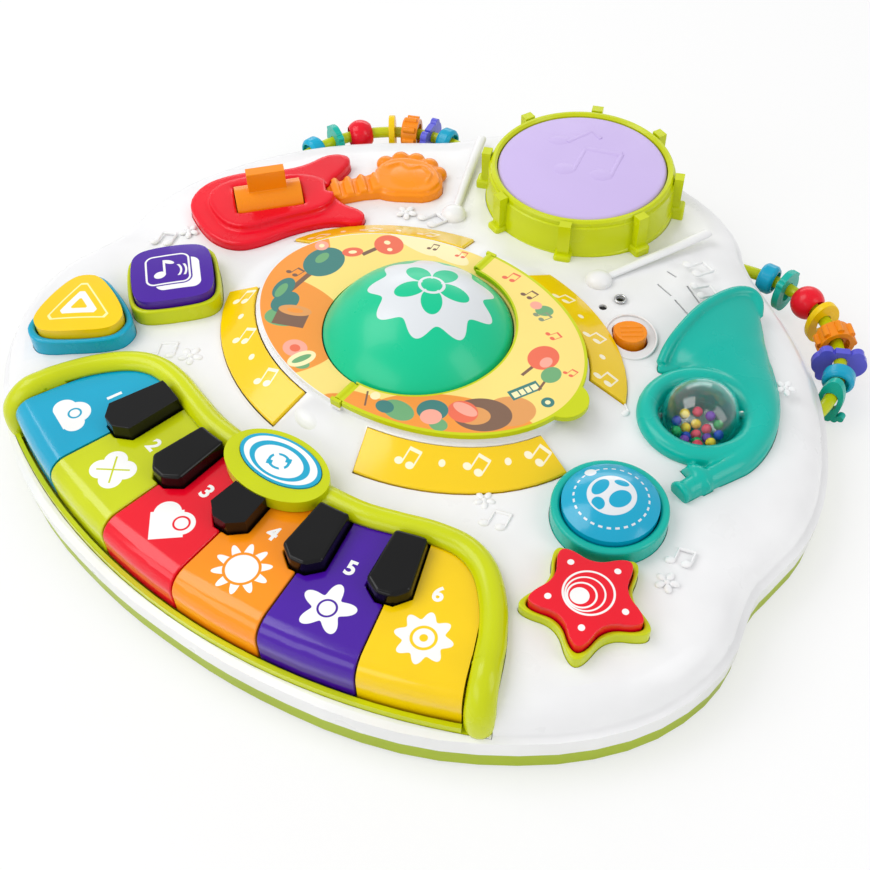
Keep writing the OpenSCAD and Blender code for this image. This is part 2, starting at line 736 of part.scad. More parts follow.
module strum_lever() color("orange") plan(strum_at[0], strum_at[1], guitar_turn)
    translate([0, 0, strum_z]) {
        rotate([0, 90, 0]) cylinder(r = strum_r, h = strum_len, center = true);
        rotate([0, 90, 0]) cylinder(r = strum_pin_r, h = strum_len + 8, center = true);
        translate([-strum_tab_l / 2, -strum_tab_w / 2, strum_r - 2])
            cube([strum_tab_l, strum_tab_w, strum_tab_h + 2]);
    }

/* ---------- drum ---------- */

drum_at = [0, 165];
drum_wall = 2.4;
lug_w = 8.5;
lug_out = 6;
module drum_outline() at_dome() translate(drum_at) {
    circle(drum_r);
    for (i = [0:lug_count - 1]) rotate((i + 0.5) * 360 / lug_count)
        translate([drum_r - 4, -lug_w / 2]) square([4 + lug_out - 1, lug_w]);
}

module drum_shell() color("yellowgreen") plan(drum_at[0], drum_at[1]) {
    rotate_extrude($fn = 128) polygon([
        [drum_r, deep_z], [drum_r, 47], [drum_r - 0.5, 47.6], [drum_r - 1.5, drum_top_z - 3.5],
        [drum_r - 2.6, drum_top_z - 3], [drum_r - 2.6, drum_top_z - 0.5], [drum_r - 3.6, drum_top_z + 0.8],
        [drum_r - 5.2, drum_top_z + 0.8], [drum_head_r + cap_gap, drum_top_z - 0.6],
        [drum_head_r + cap_gap, drum_top_z - 8], [drum_r - 1.5 - drum_wall, drum_top_z - 10],
        [drum_r - drum_wall, deep_z]
    ]);
    for (i = [0:lug_count - 1]) rotate((i + 0.5) * 360 / lug_count) {
        translate([drum_r - 2, -lug_w / 2, deep_z]) cube([1 + lug_out, lug_w, 9]);
        translate([drum_r - 2, -lug_w / 2 + 0.8, deep_z + 9 - eps])
            cube([lug_out - 0.5, lug_w - 1.6, drum_top_z + 1 - deep_z - 9]);
    }
}

module drum_head() color("plum") plan(drum_at[0], drum_at[1]) rotate_extrude($fn = 128) polygon([
    [0, drum_top_z - 1.2], [0, drum_top_z + 1.2], [18, drum_top_z + 1.1], [36, drum_top_z + 0.7],
    [drum_head_r - 3, drum_top_z], [drum_head_r - 1, drum_top_z - 0.5], [drum_head_r, drum_top_z - 1.6],
    [drum_head_r, drum_top_z - 12], [drum_r - 4.6, drum_top_z - 12], [drum_r - 4.6, drum_top_z - 14],
    [drum_head_r - 2.5, drum_top_z - 14], [drum_head_r - 2.5, drum_top_z - 2.8]
]);

/* ---------- trumpet ---------- */

ball_at = [149.5, 43];
ball_z = 50;
ball_turn = 37;
cup_gap = 1.2;
cup_z = ball_z - ball_r - cup_gap;
horn_ring_r = ball_r + cup_gap + horn_tube_r;
horn_pts = [
    [126, 72], [134, 70], [146, 66], [156, 64], [150, 30], [160, 14], [163, 8], [177, 6], [182, 16],
    [188, 30], [188, 52], [181, 74], [167, 94], [155, 107], [146, 122], [134, 137], [122, 134],
    [112, 114], [108, 86], [113, 60], [119, 60]
];
horn_z = 53;
bell_z = 62;

module trumpet_outline() at_dome() {
    difference() {
        union() {
            polygon(smooth(horn_pts, 2));
            translate(ball_at) circle(horn_ring_r + horn_tube_r);
            translate([169.5, 3]) rotate(68) square([20, 11], center = true);
            translate([168, 6]) rotate(68) square([6, 18], center = true);
        }
        translate(ball_at) circle(ball_r + cup_gap);
    }
}

module trumpet_body() color("lightseagreen") difference() {
    union() {
        slab(deep_z, horn_z - 3) trumpet_outline();
        plan(ball_at[0], ball_at[1]) slab(cup_z - 2, deep_z + 3) circle(ball_r + cup_gap + 1.4);
        plan(ball_at[0], ball_at[1]) translate([0, 0, horn_z - 3]) rotate_extrude()
            translate([horn_ring_r, 0]) circle(horn_tube_r, $fn = 32);
        slab(horn_z - 3 - eps, horn_z) difference() {
            at_dome() intersection() {
                polygon(smooth(horn_pts, 2));
                translate([-12, 7]) polygon(smooth(horn_pts, 2));
            }
            at_dome() translate(ball_at) circle(ball_r + 4);
        }
        slab(horn_z - 3 - eps, bell_z) intersection() {
            trumpet_outline();
            at_dome() difference() {
                translate([196, 60]) circle(88);
                translate([196, 60]) circle(76);
                translate([100, -100]) square([200, 155]);
            }
        }
    }
    slab(deep_z - 1, horn_z - 6) difference() {
        offset(delta = -wall) trumpet_outline();
        at_dome() translate(ball_at) circle(ball_r + cup_gap + 1.4);
    }
    plan(ball_at[0], ball_at[1], ball_turn) translate([0, 0, ball_z]) rotate([0, 90, 0])
        cylinder(r = 2 + pin_play, h = 2 * ball_r + 9, center = true);
    plan(ball_at[0], ball_at[1]) slab(cup_z, 80) circle(ball_r + cup_gap - 0.1);
}

module rattle_ball() color("lightcyan", 0.4) plan(ball_at[0], ball_at[1], ball_turn)
    translate([0, 0, ball_z]) {
        difference() {
            sphere(ball_r, $fn = 96);
            sphere(ball_r - 1.6, $fn = 96);
        }
        for (s = [-1, 1]) translate([s * (ball_r + 1), 0, 0]) rotate([0, 90, 0])
            cylinder(r = 2, h = 5, center = true);
    }

loose_r = 2.8;
module rattle_beads() color("royalblue") plan(ball_at[0], ball_at[1], ball_turn)
    translate([0, 0, ball_z]) {
        low = ball_r - 1.6 - loose_r - 0.4;
        step = 2 * asin(1.175 * loose_r / low);
        translate([0, 0, -low]) sphere(loose_r, $fn = 24);
        for (k = [0:5]) rotate([0, 0, k * 60]) rotate([0, step, 0]) translate([0, 0, -low])
            sphere(loose_r, $fn = 24);
        for (k = [0:9]) rotate([0, 0, k * 36 + 10]) rotate([0, 2 * step, 0]) translate([0, 0, -low])
            sphere(loose_r, $fn = 24);
    }

/* ---------- beak-shaped switch, eyes and sound slits ---------- */

beak_at = [90, 74.5];
beak_turn = 127;
beak_travel = 2.5;
beak_top_z = 54;
eye_holes = [[65, 86, 2.4], [69.8, 97, 3.2]];
// Place, turn and length of each slit
slits = [[81.5, 136, -10, 7], [85, 121, -20, 12], [100, 114, -28, 14], [100, 128, -35, 16]];

function beak_shape(grow) = smooth([for (t = [0:60:300])
    (8.8 + grow + (t == 60 ? 2.2 : 0)) * 1.1 * [cos(t), sin(t)]], 2);
module beak_slot() for (s = [-1:1]) translate([s * beak_travel, 0]) polygon(beak_shape(0.5));

module beak_switch() color("darkorange") plan(beak_at[0], beak_at[1], beak_turn) {
    slab(deep_z + 1, beak_top_z) polygon(beak_shape(0));
    for (s = [-1:1]) translate([s * 3.4, 0, 0]) slab(beak_top_z - eps, beak_top_z + 0.8)
        square([1.2, 12], center = true);
    slab(deep_z + 1, deep_z + 4) square([30, 25], center = true);
}

/* ---------- bead rails ---------- */

rail_at = [side_reach - 106.7, back_reach - 112.3];
rail_z = 19;
rail_from = -17;
rail_to = 115;
module rail_rod(r) plan(rail_at[0], rail_at[1]) translate([0, 0, rail_z]) rotate(rail_from)
    rotate_extrude(angle = rail_to - rail_from, $fn = 120) translate([rail_arc_r, 0]) circle(r, $fn = 48);

module rail_right() color("yellowgreen") rail_rod(rod_r);
module rail_left() color("yellowgreen") mirror([1, 0, 0]) rail_rod(rod_r);

hole_r = rod_r + bead_play;
// A bead's own frame: its axis lies along Y and passes through the rod's centre
module bead_bore(r, w) rotate([90, 0, 0]) cylinder(r = r, h = w, center = true);
module plate(t) rotate([90, 0, 0]) translate([0, 0, -t / 2]) linear_extrude(t) children();
ring_t = 4.2;
slot_h = 5;
ring_drop = slot_h / 2;
module slot_hole() {
    circle(hole_r);
    translate([0, -slot_h]) circle(hole_r);
    translate([-hole_r, -slot_h]) square([2 * hole_r, slot_h]);
}

module barrel_bead(w, r) difference() {
    rotate([90, 0, 0]) rotate_extrude() polygon([
        [0, -w / 2], [r - 1.6, -w / 2], [r, -w / 2 + 2], [r, w / 2 - 2], [r - 1.6, w / 2], [0, w / 2]
    ]);
    bead_bore(hole_r, w + 1);
    for (s = [-1, 1]) translate([0, s * w / 2, 0]) bead_bore(r - 3, w * 0.55);
}
module ball_bead(r) {
    mouth = asin(0.62);
    rotate([90, 0, 0]) rotate_extrude() polygon(concat(
        [for (t = [-90 + mouth:6:90 - mouth]) [r * cos(t), r * sin(t)]],
        [[r * 0.62, r * cos(mouth)], [r * 0.62, r * 0.3], [hole_r, r * 0.3],
         [hole_r, -r * 0.3], [r * 0.62, -r * 0.3], [r * 0.62, -r * cos(mouth)]]));
}
module gear_bead(w) difference() {
    union() {
        bead_bore(10, w);
        for (k = [0:7]) rotate([0, k * 45, 0]) translate([10, 0, 0]) bead_bore(2, w - 3);
    }
    bead_bore(hole_r, w + 1);
    for (s = [-1, 1]) translate([0, s * w / 2, 0]) bead_bore(7, w * 0.5);
}
module saw_ring() plate(ring_t) difference() {
    union() {
        translate([0, -ring_drop]) polygon(oval(10.5, 13.5));
        for (t = [50:16:130]) translate([0, -ring_drop]) rotate(t) translate([11, 0]) circle(2.2, $fn = 24);
    }
    slot_hole();
}
module loop_ring() plate(ring_t) difference() {
    translate([0, -ring_drop]) polygon(oval(10, 14.5));
    slot_hole();
}
module butterfly_ring() plate(ring_t) difference() {
    union() for (s = [-1, 1]) translate([s * 6.5, -ring_drop]) {
        circle(9);
        translate([s * 2, 7]) circle(4);
        translate([s * 1, -9]) circle(4);
        translate([-s * 6.5 - 4, -11]) square([8, 21]);
    }
    slot_hole();
}
module leaf_ring() plate(ring_t) difference() {
    union() {
        translate([0, -ring_drop]) polygon(oval(7, 15.5));
        for (t = [230:16:310]) translate([0, -ring_drop]) rotate(t) translate([13, 0]) circle(2.2, $fn = 24);
    }
    slot_hole();
}

// Angles of the beads along the right rail, from the back end to the front end
bead_angles = [89.5, 80, 66.5, 54.5, 40.5, 27.5, 15.5, 4];
// Angles on the left rail, from the front end to the back end
left_angles = [10, 24, 38, 55.5, 66, 76.5, 87];
module bead(i) {
    if (i == 0 || i == 6) color("deepskyblue") barrel_bead(10, 9);
    if (i == 1) color("lightseagreen") saw_ring();
    if (i == 2) color("crimson") ball_bead(round_bead_r);
    if (i == 3) color("gold") loop_ring();
    if (i == 4) color("orange") gear_bead(11);
    if (i == 5) color("slateblue") butterfly_ring();
    if (i == 7) color("lightseagreen") leaf_ring();
}
module on_rail(angle) plan(rail_at[0], rail_at[1]) rotate(angle)
    translate([rail_arc_r, 0, rail_z]) children();
module right_bead(i) on_rail(bead_angles[i]) bead(i);
module left_bead(i) mirror([1, 0, 0]) on_rail(left_angles[i]) bead(i);

/* ---------- nodes ---------- */

base_shell();
top_shell();
battery_door();
case_screws();
rubber_feet();
speaker();
main_board();
batteries();
battery_contacts();
picture_disc();
light_windows();
dome_button();
flip_page();
piano_bezel();
mode_button();
color("deepskyblue") coloured_key(0);  // key_blue
color("yellowgreen") coloured_key(1);  // key_green
color("crimson") coloured_key(2);  // key_red
color("darkorange") coloured_key(3);  // key_orange
color("indigo") coloured_key(4);  // key_purple
color("gold") coloured_key(5);  // key_yellow
black_key(1);  // black_key_1
black_key(2);  // black_key_2
black_key(3);  // black_key_3
black_key(4);  // black_key_4
black_key(5);  // black_key_5
color("yellowgreen") collar("square");  // square_collar
color("indigo") cap("square");  // square_button
color("deepskyblue") collar("triangle");  // triangle_collar
color("gold") cap("triangle");  // triangle_button
color("yellowgreen") collar("star");  // star_collar
color("crimson") cap("star");  // star_button
color("lightseagreen") collar("globe");  // globe_collar
color("deepskyblue") cap("globe");  // globe_button
guitar_body();
guitar_neck();
strum_lever();
drum_shell();
drum_head();
trumpet_body();
rattle_ball();
rattle_beads();
beak_switch();
rail_right();
rail_left();
right_bead(0);  // right_bead_1
right_bead(1);  // right_bead_2
right_bead(2);  // right_bead_3
right_bead(3);  // right_bead_4
right_bead(4);  // right_bead_5
right_bead(5);  // right_bead_6
right_bead(6);  // right_bead_7
right_bead(7);  // right_bead_8
left_bead(0);  // left_bead_1
left_bead(1);  // left_bead_2
left_bead(2);  // left_bead_3
left_bead(3);  // left_bead_4
left_bead(4);  // left_bead_5
left_bead(5);  // left_bead_6
left_bead(6);  // left_bead_7
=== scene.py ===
import math
from functools import reduce

import bmesh
import bpy
from mathutils import Matrix, Vector


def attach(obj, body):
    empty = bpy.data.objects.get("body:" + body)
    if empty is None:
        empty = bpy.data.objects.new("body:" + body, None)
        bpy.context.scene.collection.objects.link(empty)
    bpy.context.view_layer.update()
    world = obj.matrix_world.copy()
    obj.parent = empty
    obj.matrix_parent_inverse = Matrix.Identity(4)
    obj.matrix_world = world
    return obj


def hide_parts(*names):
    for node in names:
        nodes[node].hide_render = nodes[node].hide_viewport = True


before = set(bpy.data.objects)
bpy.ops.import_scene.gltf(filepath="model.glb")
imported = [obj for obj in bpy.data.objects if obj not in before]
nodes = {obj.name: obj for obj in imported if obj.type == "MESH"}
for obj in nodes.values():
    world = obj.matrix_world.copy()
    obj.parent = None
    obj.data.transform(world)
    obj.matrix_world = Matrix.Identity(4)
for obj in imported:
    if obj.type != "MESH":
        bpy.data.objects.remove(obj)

# In metres: a millimetre, and the y of the dome's middle and of the middle of the piano's arcs
MM = 0.001
DOME_Y = -0.016
FAN_Y = 0.142
# In millimetres: the deck's height, the clear ball's and the drum's middles from the dome's
DECK_Z = 48.0
BALL_X, BALL_Y, BALL_Z = 149.5, 43.0, 50
DRUM_Y = 165
# In degrees, from one piano key to the next
KEY_STEP = 8.2

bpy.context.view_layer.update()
scene = bpy.context.scene
bpy.ops.object.select_all(action="DESELECT")


# ---------- colours ----------

def tint(red, green, blue):
    """A colour given in the steps of a paint chart, 0 to 255, as the shader's linear values."""
    def straight(c):
        c /= 255
        return c / 12.92 if c <= 0.04045 else ((c + 0.055) / 1.055) ** 2.4
    return (straight(red), straight(green), straight(blue), 1.0)


LIME = tint(199, 209, 4)
DEEP_LIME = tint(163, 182, 8)
WHITE = tint(237, 237, 238)
PRINT_WHITE = tint(246, 246, 244)
BLUE = tint(0, 163, 200)
RED = tint(233, 0, 34)
ORANGE = tint(247, 143, 8)
PURPLE = tint(68, 10, 156)
YELLOW = tint(247, 206, 0)
WINDOW = tint(244, 203, 4)
BLACK = tint(9, 9, 10)
TEAL = tint(0, 177, 161)
DOME = tint(0, 198, 145)
LILAC = tint(198, 179, 228)
VIOLET = tint(92, 92, 214)
CREAM = tint(248, 222, 128)
PALE_GREY = tint(222, 226, 230)


# ---------- shader sheets ----------

class Part:
    """A socket of a sheet, with sums written as ordinary expressions."""

    def __init__(self, sheet, socket):
        self.sheet = sheet
        self.socket = socket

    def math(self, operation, *others):
        return self.sheet.add("ShaderNodeMath", {"operation": operation}, self, *others)

    def __add__(self, other):
        return self.math("ADD", other)

    def __sub__(self, other):
        return self.math("SUBTRACT", other)

    def __mul__(self, other):
        return self.math("MULTIPLY", other)

    def __rsub__(self, other):
        return self.sheet.add("ShaderNodeMath", {"operation": "SUBTRACT"}, other, self)

    __radd__ = __add__
    __rmul__ = __mul__

    def abs(self):
        return self.math("ABSOLUTE")

    def either(self, other):
        return self.math("MAXIMUM", other)

    def both(self, other):
        return self.math("MINIMUM", other)

    def without(self, other):
        return self.both(1 - other)


def any_of(masks):
    """1 where one of the masks is 1."""
    return reduce(Part.either, masks)


class Sheet:
    """One material, or the world, built node by node."""

    def __init__(self, name, world=None):
        self.home = world or bpy.data.materials.new(name)
        self.home.use_nodes = True
        self.tree = self.home.node_tree
        self.tree.nodes.clear()
        kind = "ShaderNodeOutputWorld" if world else "ShaderNodeOutputMaterial"
        self.end = self.tree.nodes.new(kind)
        self.place = None if world else self.add("ShaderNodeTexCoord", {}, out="Object")

    def add(self, kind, settings, *values, out=0, at=None, **named):
        """A node with its settings, and values or links for its sockets by order or by name."""
        node = self.tree.nodes.new(kind)
        for key, value in settings.items():
            setattr(node, key, value)
        sockets = {**dict(enumerate(values)), **(at or {})}
        sockets.update((key.replace("_", " "), value) for key, value in named.items())
        for key, value in sockets.items():
            if isinstance(value, Part):
                self.tree.links.new(value.socket, node.inputs[key])
            else:
                node.inputs[key].default_value = value
        return Part(self, node.outputs[out])

    def finish(self, shader):
        self.tree.links.new(shader.socket, self.end.inputs["Surface"])
        return self.home

    def noise(self, scale, detail=2.0, roughness=0.5):
        return self.add("ShaderNodeTexNoise", {}, Vector=self.place, Scale=scale, Detail=detail,
                        Roughness=roughness)

    def mix_colour(self, mask, first, second, blend="MIX"):
        return self.add("ShaderNodeMix", {"data_type": "RGBA", "blend_type": blend}, out=2,
                        at={0: mask, 6: first, 7: second})

    def shade(self, colour, low=0.9, high=1.06, scale=14.0):
        """The faint unevenness of a moulded colour."""
        cloud = self.add("ShaderNodeMapRange", {}, self.noise(scale, 3.0), 0.3, 0.7, low, high)
        grey = self.add("ShaderNodeCombineColor", {}, cloud, cloud, cloud)
        return self.mix_colour(1.0, colour, grey, "MULTIPLY")

    def plastic(self, colour, roughness=0.24, grain=0.04, coat=0.1, shine=0.28):
        """Moulded plastic: an even gloss with faint clouds in it, and a fine grain."""
        gloss = self.add("ShaderNodeMapRange", {}, self.noise(38.0, 4.0), 0.35, 0.65,
                         roughness * 0.9, roughness * 1.2)
        pits = self.add("ShaderNodeBump", {}, Strength=grain, Distance=0.0004,
                        Height=self.noise(900.0, 2.0, 0.6))
        return self.finish(self.add(
            "ShaderNodeBsdfPrincipled", {}, Base_Color=colour, Roughness=gloss, Normal=pits,
            Coat_Weight=coat, Coat_Roughness=0.08, Specular_IOR_Level=shine))

    # Flat prints: every mask is made from a place in millimetres on a plane

    def vector(self, operation, *values):
        return self.add("ShaderNodeVectorMath", {"operation": operation}, *values)

    def length(self, plane):
        return self.add("ShaderNodeVectorMath", {"operation": "LENGTH"}, plane, out="Value")

    def split(self, vector):
        """The x and the y of a vector."""
        x = self.add("ShaderNodeSeparateXYZ", {}, vector)
        return x, Part(self, x.socket.node.outputs[1])

    def flat(self, x, y, turn=0.0, size=1.0):
        """A plane seen from above, round a place in the frame."""
        return self.add("ShaderNodeMapping", {"vector_type": "TEXTURE"}, self.place,
                        (x * MM, y * MM, 0.0), (0.0, 0.0, math.radians(turn)),
                        (size * MM, size * MM, 1e6))

    def local(self, plane, x, y, turn=0.0, a=1.0, b=1.0):
        """The plane round another of its places, turned, and shrunk by a and b."""
        return self.add("ShaderNodeMapping", {"vector_type": "TEXTURE"}, plane, (x, y, 0.0),
                        (0.0, 0.0, math.radians(turn)), (a, b, 1e6))

    def edge(self, depth, soft=0.22):
        """1 where depth, in millimetres into the shape, is above 0."""
        return self.add("ShaderNodeMath", {"operation": "MULTIPLY_ADD", "use_clamp": True}, depth,
                        1 / soft, 0.5)

    def oval_depth(self, plane, x, y, a, b, turn=0.0):
        return (1 - self.length(self.local(plane, x, y, turn, a, b))) * min(a, b)

    def spot(self, plane, x, y, r):
        return self.edge(r - self.length(self.local(plane, x, y)))

    def egg(self, plane, x, y, a, b, turn=0.0):
        return self.edge(self.oval_depth(plane, x, y, a, b, turn))

    def ring(self, plane, x, y, r, w):
        return self.edge(w / 2 - (self.length(self.local(plane, x, y)) - r).abs())

    def bar(self, plane, x, y, a, b, turn=0.0):
        along, across = self.split(self.vector("ABSOLUTE", self.local(plane, x, y, turn)))
        return self.edge((a - along).both(b - across))

    def angle(self, plane):
        along, across = self.split(plane)
        return across.math("ARCTAN2", along)

    def lobes(self, plane, x, y, r, swing, count, turn=0.0):
        """A round shape whose radius swings in and out."""
        here = self.local(plane, x, y, turn)
        wave = (self.angle(here) * count).math("COSINE") * swing
        return self.edge(wave + r - self.length(here))


def plain(name, colour, roughness=0.24, grain=0.04, coat=0.1, shine=0.28):
    sheet = Sheet(name)
    return sheet.plastic(sheet.shade(colour), roughness, grain, coat, shine)


# ---------- camera, light and floor ----------

# The picture's width and all places in it are in picture steps, distances from the table in
# units; the view is given by its turn, rise and roll, its own middle and the place it aims at
PICTURE = 870
SENSOR = 36.0
turn, rise, roll = math.radians(37.171), math.radians(50.935), math.radians(1.147)
back = Vector((math.sin(turn) * math.cos(rise), -math.cos(turn) * math.cos(rise), math.sin(rise)))
right = Vector((math.cos(turn), math.sin(turn), 0.0))
up = back.cross(right)
focal, far = 1164.17, 1158.0
centre_x, centre_y = 444.148, 473.819
aim_x, aim_y = 418.80, 347.01
unit = 0.55 * MM
off_x = (aim_x - centre_x) / focal * far
off_y = -(aim_y - centre_y) / focal * far
cos_roll, sin_roll = math.cos(roll), math.sin(roll)
eye = (back * far - right * (cos_roll * off_x + sin_roll * off_y)
       - up * (cos_roll * off_y - sin_roll * off_x))
axis_x = right * cos_roll - up * sin_roll
axis_y = right * sin_roll + up * cos_roll
lens = bpy.data.cameras.new("view")
lens.sensor_width = SENSOR
lens.lens = SENSOR * focal / PICTURE
lens.shift_x = 0.5 - centre_x / PICTURE
lens.shift_y = centre_y / PICTURE - 0.5
lens.clip_start, lens.clip_end = 0.05, 20.0
camera = bpy.data.objects.new("view", lens)
scene.collection.objects.link(camera)
camera.matrix_world = Matrix((
    (axis_x.x, axis_y.x, back.x, eye.x * unit),
    (axis_x.y, axis_y.y, back.y, eye.y * unit + DOME_Y),
    (axis_x.z, axis_y.z, back.z, eye.z * unit + DECK_Z * MM),
    (0.0, 0.0, 0.0, 1.0)))
scene.camera = camera
scene.view_settings.view_transform = "Standard"

TABLE_MIDDLE = Vector((0, 0, 0.04))
for name, place, size, power in (
        ("big softbox", (-0.95, -0.45, 1.5), (1.1, 1.1), 13.0),
        ("back softbox", (-0.9, 1.5, 0.75), (1.6, 0.5), 6.0),
        ("side softbox", (1.4, 0.2, 0.8), (0.6, 1.2), 5.4),
        ("front softbox", (-0.35, -1.35, 0.8), (1.4, 0.6), 5.6)):
    light = bpy.data.lights.new(name, "AREA")
    light.shape = "RECTANGLE"
    light.size, light.size_y = size
    light.energy = power
    lamp = bpy.data.objects.new(name, light)
    scene.collection.objects.link(lamp)
    lamp.location = place
    lamp.rotation_euler = (TABLE_MIDDLE - Vector(place)).to_track_quat("-Z", "Y").to_euler()

sheet = Sheet("studio", bpy.data.worlds.new("studio"))
seen = any_of(sheet.add("ShaderNodeLightPath", {}, out=f"Is {kind} Ray")
              for kind in ("Camera", "Glossy", "Transmission"))
sky = sheet.add("ShaderNodeBackground", {}, (1.0, 1.0, 1.0, 1.0), 0.6)
backdrop = sheet.add("ShaderNodeBackground", {}, (0.8, 0.8, 0.8, 1.0), 1.0)
scene.world = sheet.finish(sheet.add("ShaderNodeMixShader", {}, seen, sky, backdrop))

bpy.ops.mesh.primitive_plane_add(size=8.0)
floor = bpy.context.object
floor.name = "floor"
sheet = Sheet("studio paper")
matt = sheet.add("ShaderNodeBsdfDiffuse", {}, (0.9, 0.9, 0.9, 1.0))
glow = sheet.add("ShaderNodeEmission", {}, (1.0, 1.0, 1.0, 1.0), 1.0)
GLOW_SHARE = 0.6
glow_share = sheet.add("ShaderNodeLightPath", {}, out="Is Camera Ray") * GLOW_SHARE
paper = sheet.finish(sheet.add("ShaderNodeMixShader", {}, glow_share, matt, glow))
floor.data.materials.append(paper)
bpy.ops.object.select_all(action="DESELECT")


# ---------- making pieces ----------

def spot_at(x, y, z):
    """Millimetres from the dome's middle as metres in the frame."""
    return x * MM, y * MM + DOME_Y, z * MM


def give(piece, material, body="casing"):
    piece.data.materials.clear()
    piece.data.materials.append(material)
    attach(piece, body)


def paint(material, *names):
    """A better material for carried-over nodes."""
    for name in names:
        nodes[name].data.materials.clear()
        nodes[name].data.materials.append(material)


def only(*pieces):
    bpy.ops.object.select_all(action="DESELECT")
    for piece in pieces:
        piece.select_set(True)
    bpy.context.view_layer.objects.active = pieces[0]


def applied(piece, kind, **settings):
    """Adds a modifier with its settings and applies it."""
    only(piece)
    extra = piece.modifiers.new("shape", kind)
    for key, value in settings.items():
        setattr(extra, key, value)
    bpy.ops.object.modifier_apply(modifier="shape")


def settled(piece, name=None):
    """Puts a piece's place into its mesh."""
    only(piece)
    bpy.ops.object.transform_apply(location=True, rotation=True, scale=True)
    if name:
        piece.name = name
    return piece


def joined(name, *parts):
    only(*parts)
    bpy.ops.object.join()
    return settled(parts[0], name)


def smoothed(piece, angle=32.0):
    only(piece)
    bpy.ops.object.shade_smooth_by_angle(angle=math.radians(angle))
    applied(piece, "WEIGHTED_NORMAL", keep_sharp=True)
    bpy.ops.object.select_all(action="DESELECT")
    return piece


def rounded(piece, radius, segments, limit=32.0):
    applied(piece, "BEVEL", width=radius * MM, segments=segments, limit_method="ANGLE",
            angle_limit=math.radians(limit))
    return smoothed(piece)


def melted(piece, voxel, rounds):
    """Joins the parts of a piece into one skin and softens its corners, as a thick moulding has."""
    applied(piece, "REMESH", mode="VOXEL", voxel_size=voxel * MM)
    applied(piece, "SMOOTH", factor=0.5, iterations=rounds)
    bpy.ops.object.shade_smooth()
    bpy.ops.object.select_all(action="DESELECT")


def copied(node, name):
    """A merged copy of a node, with whole faces."""
    piece = bpy.data.objects.new(name, nodes[node].data.copy())
    scene.collection.objects.link(piece)
    only(piece)
    bpy.ops.object.mode_set(mode="EDIT")
    bpy.ops.mesh.select_all(action="SELECT")
    bpy.ops.mesh.remove_doubles(threshold=0.00001)
    bpy.ops.mesh.dissolve_limited(angle_limit=math.radians(1.0))
    bpy.ops.object.mode_set(mode="OBJECT")
    return piece


def cut_level(piece, level, keep_below=False):
    """Cuts a piece at a height in millimetres, drops one side and closes the cut."""
    only(piece)
    bpy.ops.object.mode_set(mode="EDIT")
    bpy.ops.mesh.select_all(action="SELECT")
    bpy.ops.mesh.bisect(plane_co=(0, 0, level * MM), plane_no=(0, 0, 1), use_fill=True,
                        clear_inner=not keep_below, clear_outer=keep_below)
    bpy.ops.object.mode_set(mode="OBJECT")


def carved(piece, cutter, operation="DIFFERENCE"):
    """Takes the cutter's shape out of a piece, or keeps what is inside it."""
    applied(piece, "BOOLEAN", operation=operation, solver="MANIFOLD", object=cutter)


def sealed(piece):
    """Merges doubled corners and turns the faces outwards."""
    only(piece)
    bpy.ops.object.mode_set(mode="EDIT")
    bpy.ops.mesh.select_all(action="SELECT")
    bpy.ops.mesh.remove_doubles(threshold=0.000005)
    bpy.ops.mesh.normals_make_consistent(inside=False)
    bpy.ops.object.mode_set(mode="OBJECT")
    return piece


def moulded(node, material, body, radius, segments, limit=32.0):
    """A copy of a node with the rounded edges of a moulding, shown in its place."""
    piece = rounded(copied(node, node + "_moulding"), radius, segments, limit)
    give(piece, material, body)
    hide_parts(node)
    return piece


def puffed(node, material, level, radius, voxel, rounds, extras=(), top=None):
    """A thick, soft-edged moulding over a node of the casing, with the extras melted into it.

    Above the level it is one skin, up to the top if one is given; below it are the node's walls.
    """
    upper = copied(node, node + "_moulding")
    if top:
        cut_level(upper, top, keep_below=True)
    if radius:
        rounded(upper, radius, 3)
    cut_level(upper, level)
    if extras:
        upper = joined(upper.name, upper, *extras)
    melted(upper, voxel, rounds)
    lower = copied(node, node + " foot")
    cut_level(lower, level + 1, keep_below=True)
    piece = joined(node + "_moulding", upper, smoothed(lower))
    give(piece, material)
    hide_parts(node)


def flow(points, steps):
    """Points on a smooth curve through the given ones; further numbers are carried along."""
    line = [points[0]] + list(points) + [points[-1]]
    out = []
    for k in range(1, len(line) - 2):
        for i in range(steps):
            t = i / steps
            out.append(tuple(
                0.5 * (2 * b + (c - a) * t + (2 * a - 5 * b + 4 * c - d) * t * t
                       + (3 * b - a - 3 * c + d) * t ** 3)
                for a, b, c, d in zip(*line[k - 1:k + 3])))
    return out + [tuple(points[-1])]


def tube(name, points, sides):
    """A round bar along points of x, y, z and radius in millimetres."""
    curve = bpy.data.curves.new(name, "CURVE")
    curve.dimensions = "3D"
    curve.bevel_depth = MM
    curve.bevel_resolution = sides
    curve.use_fill_caps = True
    spline = curve.splines.new("POLY")
    spline.points.add(len(points) - 1)
    for point, (x, y, z, r) in zip(spline.points, points):
        point.co = (*spot_at(x, y, z), 1.0)
        point.radius = r
    piece = bpy.data.objects.new(name, curve)
    scene.collection.objects.link(piece)
    only(piece)
    bpy.ops.object.convert(target="MESH")
    return smoothed(sealed(bpy.context.object), 60)


def egg_shape(name, x, y, z, a, b, c, turned=0.0):
    """A ball with half axes a, b, c in millimetres."""
    bpy.ops.mesh.primitive_uv_sphere_add(
        segments=32, ring_count=20, radius=MM, location=spot_at(x, y, z),
        rotation=(0, 0, math.radians(turned)), scale=(a, b, c))
    piece = settled(bpy.context.object, name)
    bpy.ops.object.shade_smooth()
    return piece


